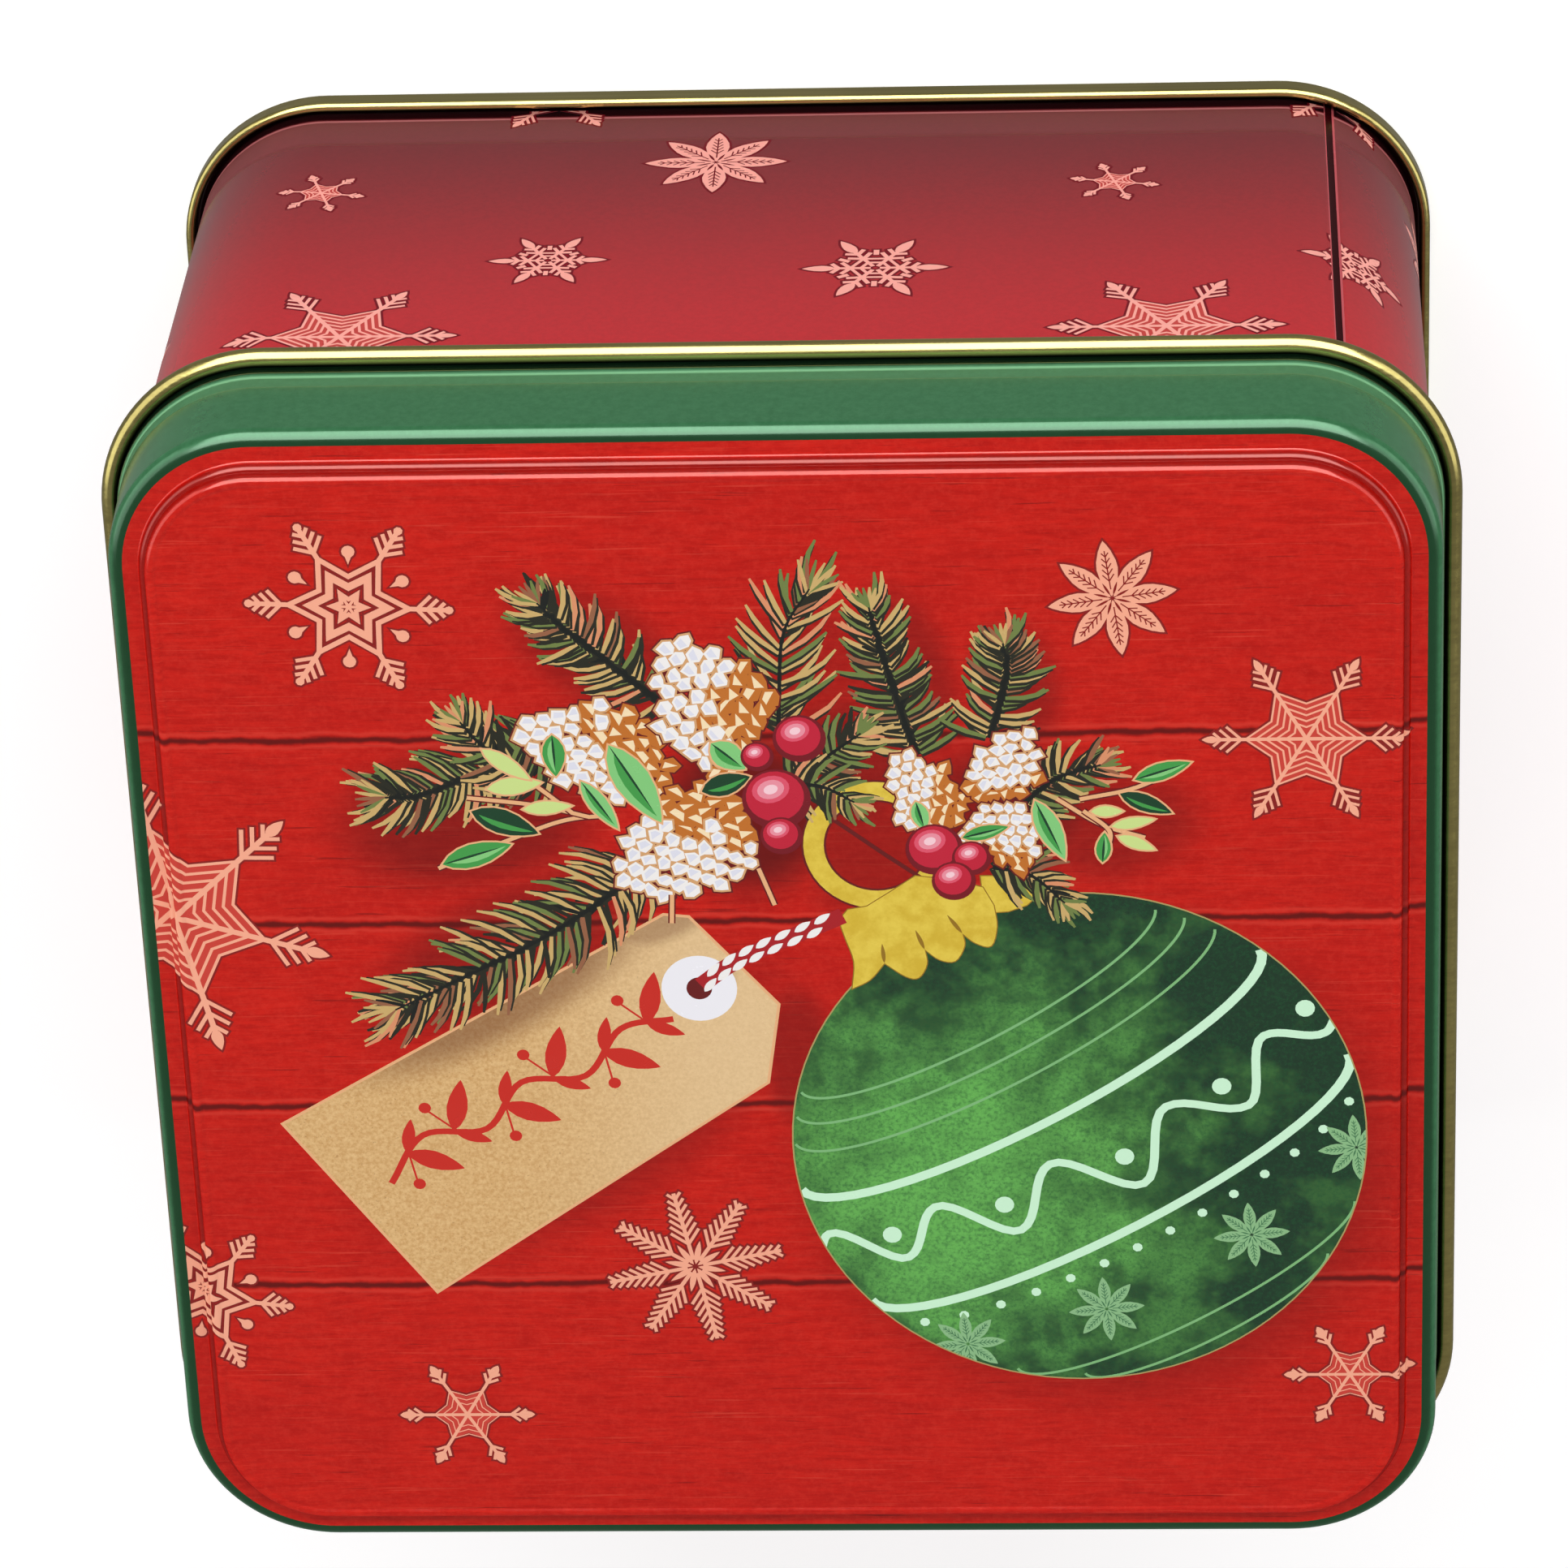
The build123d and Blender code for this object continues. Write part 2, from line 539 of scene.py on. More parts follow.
def softened(shader, gloss):
    """Gloss that weakens in views along the surface, so that the print still shows there."""
    facing = shader.node("ShaderNodeLayerWeight", {"Blend": 0.5}).outputs["Facing"]
    shader.set("Specular IOR Level", shader.fade(facing, 0.16, 0.6, gloss, 0.03))


def peeled(shader, depth=0.0012):
    """The surface of print varnish: fine orange peel over slow waves in the sheet."""
    height = shader.math("MULTIPLY_ADD", shader.noise(0.06, 1.0), 12.0, shader.noise(1.6, 1.0))
    shader.bump(height, depth)
    return shader.material


def varnished(shader, low=0.18, high=0.28):
    """Print varnish whose roughness drifts between two values."""
    shader.set("Roughness", shader.patches(0.3, 0.7, 0.25, 4.0, out=(low, high)))
    return peeled(shader)


def dull_around(shader, height, reach):
    """Print that is duller around a height, where it would mirror a gold rim."""
    off = shader.gap(shader.along("Z"), height)
    shader.set("Roughness", shader.fade(off, 0.6 * reach, reach, 0.6, 0.2))


INK_GLOSS = 0.8
JOINT_GLOSS = 0.05


def plain_ink(name, colour, gloss=INK_GLOSS):
    shader = Shader(name, colour)
    softened(shader, gloss)
    return varnished(shader)


def gold_ink():
    """Yellow whose tone varies, as in a watercolour."""
    shader = Shader("ink_gold", (214, 180, 50))
    shader.paint((232, 204, 76), shader.patches(0.35, 0.68, 0.35, 5.0, 0.65))
    softened(shader, INK_GLOSS)
    return varnished(shader)


def gold_lacquer():
    """Tinplate under clear gold lacquer, with faint rolling lines, and painted shade inside its own
    folds.
    """
    shader = Shader("gold_lacquer", (176, 162, 98))
    shader.set("Metallic", 1.0)
    lines = shader.noise(1.0, 4.0, 0.7, shader.stretched((0.02, 1.6, 1.6)))
    cloud = shader.noise(0.05, 2.0)
    shader.paint((198, 184, 114), shader.fade(shader.math("ADD", lines, cloud), 0.7, 1.3))
    # Painted shade: the gold darkens where an occlusion node finds the sheet's own folds close by.
    inputs = {"Distance": 1.6 * MM}
    fold_occlusion = shader.node("ShaderNodeAmbientOcclusion", inputs, samples=8, only_local=True)
    shader.paint((44, 38, 18), shader.fade(fold_occlusion.outputs["AO"], 0.45, 0.85, 1.0, 0.0))
    shader.set("Roughness", shader.fade(lines, 0.3, 0.7, 0.16, 0.26))
    shader.bump(shader.noise(0.08, 1.0), 0.012)
    return shader.material


def skirt_green():
    """Green print, with a painted dark reflection over the shoulder, painted shade in the crease
    above the curl, and a painted highlight along the line where the flare begins."""
    shader = Shader("skirt_green", (38, 96, 56))
    shader.set("Specular IOR Level", 1.0)
    shader.set("Specular Tint", (0.6, 1, 0.7, 1))
    z = shader.along("Z")
    flare_top, flare_foot = LID_PLANE - FLARE_TOP, LID_PLANE - FLARE_FOOT
    shader.paint((50, 108, 68), shader.patches(0.3, 0.7, 0.9, 6.0, 0.75))
    # Painted dark reflection over the shoulder.
    shader.paint((4, 44, 16), shader.fade(z, LID_PLANE - 0.5, LID_PLANE - 0.1, 0.0, 0.85))
    # Painted highlight along the line where the flare begins.
    shader.paint((116, 174, 126), shader.fade(shader.gap(z, flare_top), 0.1, 0.32, 0.7, 0.0))
    # Painted shade in the crease above the curl.
    shader.paint((8, 22, 12), shader.fade(z, flare_foot, flare_foot + 0.3, 0.95, 0.0))
    dull_around(shader, flare_top + 0.9, 1.6)
    return peeled(shader)


def wall_red():
    """Red print that darkens from under the lid down to the base seam, with a painted highlight
    line and a painted dark line of shade just above the seam."""
    shader = Shader("wall_red", (104, 27, 33))
    z = shader.along("Z")
    shader.paint((190, 24, 33), shader.fade(z, -4.0, 74.0))
    shader.paint((70, 10, 20), shader.patches(0.35, 0.65, 1.4, 6.0, 0.8, out=(0.0, 0.16)))
    # Painted highlight: a light line on the wall just above the seam.
    line = shader.gap(z, SEAM_HEIGHT + 1.1)
    shader.paint((214, 130, 134), shader.fade(line, 0.1, 0.35, 0.6, 0.0))
    # Painted shade: a dark line just above the seam, where the seam's fold shades the wall.
    shader.paint((30, 6, 10), shader.fade(z, SEAM_HEIGHT + 0.4, SEAM_HEIGHT + 0.7, 0.95, 0.0))
    dull_around(shader, SEAM_HEIGHT + 4.4, 4.2)
    return peeled(shader, 0.0007)


# A spot of soft shadow is its centre, its half length and half width, its turn in degrees and its
# depth. It reaches far up and down, so that only its place in the plan counts.
SPOT_HEIGHT = 1000.0
BOARD_SHADOWS = (
    ((-26, -11.8), 36, 18.5, 35.6, 0.6),
    ((1.0, -6), 6, 13, 4, 0.5),
    ((35.5, -20.5), 41, 40, 0, 0.95),
    ((-20, 48), 16, 9, -40, 0.45),
    ((6, 47), 9, 14, 80, 0.35),
    ((15, 45), 15, 7, -75, 0.5),
    ((27, 43), 11, 7, 95, 0.5),
    ((-36, 27), 20, 12, 8, 0.65),
    ((-33, 9), 24, 10, 31, 0.55),
    ((-4, 27), 13, 14, 0, 0.9),
    ((7, 33), 11, 13, 0, 0.6),
    ((26, 27), 14, 12, 0, 0.7),
    ((38, 25), 13, 9, 10, 0.5),
    ((11, 21), 12, 11, 0, 0.45),
)
TAG_SHADOWS = (
    ((-34, 3.5), 26, 8, 31, 0.65),
    ((-15, 13), 9, 4, 20, 0.5),
    ((-8.6, 4.6), 3.6, 2.4, 30, 0.4),
)


def shadow_spots(shader, spots):
    """How deep in soft shadow a place is."""
    total = 0.0
    for centre, half_length, half_width, turn, depth in spots:
        inputs = {
            "Vector": shader.place(),
            "Location": (*centre, PANEL),
            "Rotation": (0, 0, math.radians(turn)),
            "Scale": (half_length, half_width, SPOT_HEIGHT),
        }
        within = shader.node("ShaderNodeMapping", inputs, vector_type="TEXTURE").outputs[0]
        reach = shader.vector_math("LENGTH", within)["Value"]
        total = shader.math("MAXIMUM", shader.fade(reach, 0.45, 1.0, depth, 0.0), total)
    return total


# The joints between the boards, in the height of the picture
JOINTS = (37.2, 12.8, -12.0, -37.0)


def painted_boards():
    """Red painted boards: fine grain along X, dark joints with light edges, soft shadows of the
    picture, and painted shade on the step around the raised panel."""
    shader = Shader("painted_boards", (182, 6, 0))
    shader.set("Specular Tint", (1, 0.55, 0.5, 1))
    y = shader.along("Y")
    wander = shader.noise(1.0, 3.0, at=shader.stretched((0.03, 0.12, 1)))
    inputs = {0: shader.along("X"), 1: shader.math("MULTIPLY_ADD", wander, 4.0, y)}
    warped = shader.node("ShaderNodeCombineXYZ", inputs).outputs[0]
    grain_at = shader.stretched((0.14, 1.1, 1), at=warped)
    shader.paint((216, 28, 14), shader.patches(0.3, 0.68, 1.0, 8.0, 0.8, grain_at))
    broad_at = shader.stretched((0.02, 0.06, 1))
    shader.paint((180, 10, 8), shader.patches(0.35, 0.65, 1.0, 3.0, at=broad_at, out=(0.0, 0.3)))
    shader.paint((222, 52, 38), shader.patches(0.4, 0.7, 1.1, 4.0, 0.7, out=(0.0, 0.3)))
    scratch_at = shader.stretched((0.07, 2.6, 1))
    shader.paint((228, 74, 56), shader.patches(0.6, 0.76, 1.0, 4.0, at=scratch_at, out=(0.0, 0.5)))
    crack_at = shader.stretched((0.1, 2.4, 1), 1.5)
    shader.paint((112, 4, 4), shader.patches(0.64, 0.72, 1.0, 4.0, at=crack_at, out=(0.0, 0.55)))
    ripple = shader.noise(1.0, 3.0, at=shader.stretched((0.25, 0.3, 1)))
    edge = shader.math("MULTIPLY_ADD", ripple, 1.1, -0.55)
    for joint in JOINTS:
        off = shader.math("ADD", shader.math("SUBTRACT", y, joint), edge)
        for side in (-0.85, 0.85):
            shader.paint((226, 62, 48), shader.fade(shader.gap(off, side), 0.0, 0.45, 0.5, 0.0))
        shader.paint((92, 3, 3), shader.fade(shader.math("ABSOLUTE", off), 0.12, 0.62, 0.95, 0.0))
    shader.paint((92, 4, 6), shadow_spots(shader, BOARD_SHADOWS))
    # Painted shade on the step up to the raised panel, darkest halfway up it.
    rise = shader.gap(shader.along("Z"), LID_PLANE + 0.55 * PANEL_RISE)
    shader.paint((104, 4, 4), shader.fade(rise, 0.3 * PANEL_RISE, 0.48 * PANEL_RISE, 0.55, 0.0))
    softened(shader, 1.0)
    return varnished(shader, 0.12, 0.2)


def kraft_paper():
    """Brown paper with fibres and flecks, fading towards the eyelet, in the twig's shadow."""
    shader = Shader("ink_kraft", (206, 158, 98))
    shader.paint((232, 192, 134), shader.patches(0.3, 0.7, 2.2, 6.0, 0.7))
    shader.paint((150, 104, 60), shader.patches(0.68, 0.78, 3.5, 1.0, out=(0.0, 0.5)))
    shader.paint((238, 208, 162), shader.fade(shader.along("X"), -36.0, -4.0, 0.0, 0.6))
    shader.paint((120, 66, 36), shadow_spots(shader, TAG_SHADOWS))
    softened(shader, INK_GLOSS)
    return varnished(shader)


def bauble_green():
    """Green watercolour, light on the left of the bauble and dark towards its top and right."""
    shader = Shader("ink_bauble", (14, 50, 28))
    from_light = shader.vector_math("DISTANCE", shader.place(), (19.0, -23.0, PANEL))["Value"]
    light = shader.math("SUBTRACT", 0.84, shader.fade(from_light, 0.0, 44.0))
    pools = shader.patches(0.34, 0.66, 0.1, 4.0, 0.6, out=(-0.26, 0.2))
    blots = shader.patches(0.4, 0.6, 0.3, 3.0, 0.6, out=(-0.07, 0.07))
    tone = shader.math("ADD", light, shader.math("ADD", pools, blots))
    shader.paint((104, 182, 84), shader.fade(tone, -0.25, 0.95))
    shader.paint((18, 78, 40), shader.patches(0.4, 0.7, 2.2, 4.0, 0.75, out=(0.0, 0.6)))
    softened(shader, INK_GLOSS)
    return varnished(shader)


# ---------------------------------------------------------------- flat shapes


def oval(centre, half_length, half_width, turn=0.0, count=24):
    """An ellipse, its length turned from +X."""
    spin = Matrix.Rotation(math.radians(turn), 2)
    ring = [polar(1, 360 * i / count) for i in range(count)]
    return [Vector(centre) + spin @ Vector((p.x * half_length, p.y * half_width)) for p in ring]


def disc(centre, radius, count=20):
    return oval(centre, radius, radius, 0, count)


def ribbon(line, widths):
    """A stroke along a line, from its width at each point."""
    line = [Vector(p) for p in line]
    if not hasattr(widths, "__len__"):
        widths = [widths] * len(line)
    sides = [], []
    for i, (point, width) in enumerate(zip(line, widths)):
        way = (line[min(i + 1, len(line) - 1)] - line[max(i - 1, 0)]).normalized()
        sideways = left_of(way) * width / 2
        sides[0].append(point - sideways)
        sides[1].append(point + sideways)
    return sides[0] + sides[1][::-1]


def bar(start, end, width):
    """A straight stroke, a little longer than its line at both ends."""
    start, end = Vector(start), Vector(end)
    way = (end - start).normalized() * width / 2
    side = left_of(way)
    start, end = start - way / 2, end + way / 2
    return [start - side, end - side, end + side, start + side]


def leaf(start, end, width, belly=0.45):
    """A pointed oval from one tip to the other, widest at the share belly of its length."""
    start, end = Vector(start), Vector(end)
    way = end - start
    side = left_of(way).normalized() * width / 2
    shares = [0.0, 0.12, 0.28, belly, 0.64, 0.82, 0.94]
    swell = [math.sin(math.pi * s ** (math.log(0.5) / math.log(belly))) ** 0.85 for s in shares]
    near = [start + way * s - side * w for s, w in zip(shares, swell)]
    far = [start + way * s + side * w for s, w in zip(shares, swell)]
    return near + [end] + far[:0:-1]


def star(tip, notch):
    """A six-pointed star's outline, whose first tip is on +X."""
    return [polar(notch if i % 2 else tip, 30 * i) for i in range(12)]


def band(outline, share):
    """The strip between a closed outline and its own copy shrunk to a share, as four-sided bits."""
    inner = [p * share for p in outline]
    corners = zip(outline, outline[1:] + outline[:1], inner[1:] + inner[:1], inner)
    return [list(bit) for bit in corners]


def turned(outlines, centre=(0, 0), turn=0.0, size=1.0):
    """Outlines scaled, turned and moved."""
    spin = Matrix.Rotation(math.radians(turn), 2)
    return [[Vector(centre) + spin @ (p * size) for p in outline] for outline in outlines]


def repeated(outlines, count, first=0.0):
    """Outlines repeated around the middle."""
    return [o for i in range(count) for o in turned(outlines, turn=first + 360 * i / count)]


def barbs(first, last, pairs, length, width, slant=48, shrink=0.5):
    """Pairs of strokes that lean forward from a stem along +X, and get shorter along it."""
    made = []
    for i in range(pairs):
        share = i / (pairs - 1)
        at = Vector((first + (last - first) * share, 0))
        reach = length * (1 - shrink * share)
        made += [bar(at, at + polar(reach, s * slant), width) for s in (1, -1)]
    return made


def smooth(points, count=8):
    """A Catmull-Rom curve through the points."""
    points = [Vector(p) for p in points]
    padded = [2 * points[0] - points[1]] + points + [2 * points[-1] - points[-2]]
    line = []
    for a, b, c, d in zip(padded, padded[1:], padded[2:], padded[3:]):
        for i in range(count):
            t = i / count
            bend = 2 * b + (c - a) * t + (2 * a - 5 * b + 4 * c - d) * t**2
            line.append((bend + (3 * b - a - 3 * c + d) * t**3) / 2)
    return line + [points[-1]]


# ---------------------------------------------------------------- snowflakes, one unit in radius


def star_flake():
    """Nested six-pointed stars, with barbed arms and drops between them."""
    arm = [bar((0.56, 0), (0.96, 0), 0.05), disc((0.97, 0), 0.045, 8)]
    arm += barbs(0.66, 0.86, 3, 0.19, 0.04)
    tail = [Vector(p) for p in ((0.6, 0.05), (0.46, 0), (0.6, -0.05))]
    drop = [disc((0.6, 0), 0.065, 12), tail]
    nest = band(star(0.64, 0.36), 0.83) + band(star(0.45, 0.26), 0.66)
    nest += band(star(0.22, 0.11), 0.5) + repeated([bar((0, 0), (0.12, 0), 0.03)], 6)
    return nest + repeated(arm, 6) + repeated(drop, 6, 30)


def petal_flake():
    """Eight pointed petals."""
    return repeated([leaf((0.03, 0), (1, 0), 0.33, 0.5)], 8)


def petal_veins():
    """The ribs of the petals."""
    ribs = [bar((0.16, 0), (0.82, 0), 0.02)]
    ribs += barbs(0.3, 0.72, 5, 0.14, 0.02, 38, 0.4)
    return repeated(ribs, 8) + repeated([leaf((0.06, 0), (0.3, 0), 0.04)], 8, 22.5)


def web(reaches, notch, width):
    """Nested lines from one arm of six to the next, drawn in between them."""
    made = []
    for reach in reaches:
        middle = polar(reach * notch, 30)
        made += [bar((reach, 0), middle, width), bar(middle, polar(reach, 60), width)]
    return made


def web_flake():
    """Six barbed arms joined by a web."""
    arm = [bar((0, 0), (0.97, 0), 0.038), leaf((0.87, 0), (1.03, 0), 0.08, 0.4)]
    arm += barbs(0.64, 0.84, 3, 0.2, 0.028, 44)
    return repeated(arm + web((0.2, 0.3, 0.4, 0.5, 0.6), 0.66, 0.02), 6)


def feather_flake():
    """Eight feathers around a small star."""
    feather = [bar((0.1, 0), (0.97, 0), 0.045)]
    feather += barbs(0.3, 0.9, 7, 0.23, 0.036, 42, 0.55)
    core = [leaf((0.03, 0), (0.34, 0), 0.07)]
    return repeated(feather, 8) + repeated(core, 8, 22.5)


def arrow_flake():
    """Six thin arms with arrow heads, and a faint web."""
    arm = [bar((0, 0), (0.95, 0), 0.05), leaf((0.72, 0), (1.02, 0), 0.13, 0.6)]
    arm += barbs(0.66, 0.78, 2, 0.17, 0.045, 40, 0.2)
    return repeated(arm + web((0.26, 0.38, 0.5), 0.7, 0.016), 6)


def diamond_flake():
    """Six arms with long diamond heads around a lattice."""
    arm = [bar((0.08, 0), (0.6, 0), 0.055), leaf((0.55, 0), (1.0, 0), 0.17, 0.42)]
    arm += barbs(0.34, 0.5, 2, 0.2, 0.06, 55, 0.2)
    links = [bar((reach, 0), polar(reach, 60), 0.045) for reach in (0.2, 0.34)]
    return repeated(arm + links, 6) + repeated([bar((0.44, 0), (0.56, 0), 0.07)], 6, 30)


# ---------------------------------------------------------------- a picture, and its films of ink


CUT_TOLERANCE = 1e-5
SLIVER = 1e-7               # twice the area under which a triangle is left out


class Picture:
    """A flat arrangement of shapes. Where they overlap, the one drawn last shows."""

    def __init__(self):
        self.shapes = []

    def draw(self, ink, outlines, within=None):
        """Adds outlines in an ink, and gives the number of the last one. Where within is such a
        number, they show only inside that shape."""
        for outline in outlines:
            outline = [Vector(p) for p in outline]
            turns_left = doubled_area(outline) > 0
            self.shapes.append((ink, outline if turns_left else outline[::-1], within))
        return len(self.shapes) - 1

    def triangles(self, cuts, shows):
        """Points, and each ink's triangles, after cutting along the given lines."""
        points, faces, edges = [], [], []
        for _, outline, _ in self.shapes:
            first = len(points)
            points += outline
            faces.append(list(range(first, first + len(outline))))
        for start, end in cuts:
            edges.append((len(points), len(points) + 1))
            points += [Vector(start), Vector(end)]
        cut = delaunay_2d_cdt(points, edges, faces, 0, CUT_TOLERANCE, True)
        points, made, sources = cut[0], cut[2], cut[5]
        inked = {}
        for triangle, source in zip(made, sources):
            found = [s for s in source if self.shapes[s][2] in (None, *source)]
            a, b, c = (points[i] for i in triangle)
            if found and (b - a).cross(c - a) > SLIVER and shows((a + b + c) / 3):
                inked.setdefault(self.shapes[max(found)][0], []).append(triangle)
        return points, inked


def parted(triangles):
    """Each corner of each triangle, as (its point, its part of the film around that point), so that
    parts that touch in one point only don't share it."""
    owner = {(t[i - 1], t[i]): n for n, t in enumerate(triangles) for i in range(3)}
    above = {(n, p): (n, p) for n, t in enumerate(triangles) for p in t}

    def root(corner):
        while above[corner] != corner:
            corner = above[corner]
        return corner

    for (a, b), n in owner.items():
        other = owner.get((b, a))
        if other is not None:
            for p in (a, b):
                above[root((n, p))] = root((other, p))
    return [[(p, root((n, p))) for p in t] for n, t in enumerate(triangles)]


def film_shape(points, triangles, lay):
    """A closed film over the triangles. lay(point, lift) is a place on the sheet."""
    shape = bmesh.new()
    triangles = parted(triangles)
    used = sorted({corner for t in triangles for corner in t})
    over = {c: shape.verts.new(lay(points[c[0]], INK)) for c in used}
    under = {c: shape.verts.new(lay(points[c[0]], -INK_SUNK)) for c in used}
    edges = {(t[i - 1], t[i]) for t in triangles for i in range(3)}
    for triangle in triangles:
        for face in (
            shape.faces.new([over[c] for c in triangle]),
            shape.faces.new([under[c] for c in reversed(triangle)]),
        ):
            face.smooth = True
    for a, b in sorted(edges):
        if (b, a) not in edges:
            rim = shape.faces.new([over[b], over[a], under[a], under[b]])
            for edge in rim.edges:
                edge.smooth = False
    return shape


def print_films(picture, inks, cuts, shows, lay, prefix, body):
    """One piece for each ink of the picture."""
    points, inked = picture.triangles(cuts, shows)
    for ink in sorted(inked):
        name = f"{prefix}_{ink}"
        mesh = finished_mesh(name, film_shape(points, inked[ink], lay), [inks[ink]])
        new_piece(name, mesh, body)


# The faint star behind a flake, as the reach of its tips and its notches, and the share of it in
# which the flake's lines have no rim
FAINT_STARS = {arrow_flake: (0.5, 0.33), web_flake: (0.6, 0.4)}
RIMLESS = 0.85


def draw_flake(picture, flake, place, radius, turn, inks, margins):
    """A flake with a rim around it, and in some a faint star behind it. inks are the rim's, the
    star's and the flake's, and margins are how far the rim and the flake are grown."""
    rim, faint, ink = inks
    shapes = turned(flake(), place, turn, radius)
    tip, notch = FAINT_STARS.get(flake, (0, 0))
    hidden = RIMLESS * tip * radius
    rimmed = [s for s in shapes if max((p - Vector(place)).length for p in s) > hidden]
    picture.draw(rim, [grown(shape, margins[0]) for shape in rimmed])
    if tip:
        picture.draw(faint, turned([star(tip, notch)], place, turn, radius))
    picture.draw(ink, [grown(shape, margins[1]) for shape in shapes])
    if flake is petal_flake:
        picture.draw(rim, turned(petal_veins(), place, turn, radius))


# ---------------------------------------------------------------- the lid's surface and picture


def half_width_at(point):
    """Half the width of the rounded square that goes through a point of the plan."""
    beyond = [max(0.0, abs(c) - CORNER_CENTRE) for c in point]
    return CORNER_CENTRE + math.hypot(*beyond) if min(beyond) else max(abs(c) for c in point)


def lid_face():
    """The outer face of the lid's section, out to the edge of the red print."""
    face = beside(lid_section(), HALF_SHEET)
    return [p for p in face if p.x < RED_EDGE + TOUCHING and p.y > LID_PLANE - HALF_SHEET]


def lid_layer():
    """A function that gives the place on the lid above a point of the plan."""
    face = lid_face()

    def lay(point, lift):
        reach = half_width_at(point)
        inner, outer = next(((a, b) for a, b in zip(face, face[1:]) if reach <= b.x), face[-2:])
        way = outer - inner
        height = inner.y + way.y * (reach - inner.x) / way.x
        way.normalize()
        beyond = Vector([max(0.0, abs(c) - CORNER_CENTRE) for c in point])
        if beyond.x * beyond.y == 0:
            beyond = Vector((1, 0) if abs(point.x) > abs(point.y) else (0, 1))
        beyond.normalize()
        x = point.x - math.copysign(beyond.x, point.x) * way.y * lift
        y = point.y - math.copysign(beyond.y, point.y) * way.y * lift
        return x, y, height + way.x * lift

    return lay


def lid_cuts():
    """Lines along the bends of the lid's face, so that films bend with it."""
    made = []
    for bend in lid_face()[1:]:
        for side in (-bend.x, bend.x):
            made += [((side, -CORNER_CENTRE), (side, CORNER_CENTRE))]
            made += [((-CORNER_CENTRE, side), (CORNER_CENTRE, side))]
    return made


def closed_curve(points, count=5):
    """A smooth closed curve through the points."""
    return smooth([points[-1], *points, *points[:2]], count)[count : -count - 1]


def needle(start, degrees, length, width, bend):
    """A conifer needle that bends to one side on its way out."""
    line = [start]
    for share, turn in ((0.4, 0.0), (0.33, bend / 2), (0.27, bend)):
        line.append(line[-1] + polar(length * share, degrees + turn))
    return ribbon(line, [width * 0.7, width, width * 0.9, width * 0.45])


NEEDLES = ("needle_tan",) * 4 + ("needle_olive",) * 3 + ("needle_brown", "needle_rose")
TIP_NEEDLES = 7


def draw_sprig(picture, chance, spine, length, pairs, spread, core):
    """A conifer twig, from the tip of its stem to its base, with needles that lean to the tip. core
    is how thick and dark its middle is, from 0 to 1."""
    line = smooth(spine[::-1], 12)
    picture.draw("needle_dark", [ribbon(line, [1.5 * core + 0.5] * (len(line) - 1) + [0.4])])
    for i in range(pairs):
        share = i / (pairs - 1)
        spot = min(int(share * (len(line) - 1)), len(line) - 2)
        at = line[spot]
        way = line[spot + 1] - at
        heading = math.degrees(math.atan2(way.y, way.x))
        for side in (1, -1):
            lean = side * spread * (1.15 - 0.62 * share**2) + chance.uniform(-15, 15)
            reach = length * (1 - 0.25 * share) * chance.uniform(0.72, 1.06)
            bend = -side * chance.uniform(6, 34)
            turn = heading + lean
            start = at + polar(0.2 + 0.5 * core, turn)
            if chance.random() < 0.9 - 0.15 * core:
                below = start - polar(0.3, heading)
                picture.draw("needle_dark", [needle(below, turn, reach * 0.94, 0.8, bend)])
                picture.draw(chance.choice(NEEDLES), [needle(start, turn, reach, 0.6, bend)])
            else:
                picture.draw("needle_dark", [needle(start, turn, reach * 0.85, 0.6, bend)])
        if chance.random() < core:
            turn = heading + chance.uniform(-55, 55)
            picture.draw("needle_black", [needle(at, turn, length * 0.4, 0.55, 0)])
    for i in range(TIP_NEEDLES):
        turn = heading + 14 * (i - TIP_NEEDLES // 2)
        picture.draw(chance.choice(NEEDLES), [needle(line[-2], turn, length * 0.5, 0.5, 0)])
    widths = [0.6 - 0.4 * i / len(line) for i in range(len(line))]
    picture.draw("needle_black", [ribbon(line, widths)])


def inside(point, outline):
    """Whether a point is inside a closed outline."""
    crossed = False
    for a, b in zip(outline, outline[1:] + outline[:1]):
        if (a.y > point.y) != (b.y > point.y):
            crossed ^= point.x < a.x + (b.x - a.x) * (point.y - a.y) / (b.y - a.y)
    return crossed


# A scale of a pine cone, in shares of the distance between scales
SCALE = ((-0.46, -0.34), (-0.46, 0.34), (0.06, 0.5), (0.5, 0.12), (0.42, -0.4), (-0.04, -0.5))


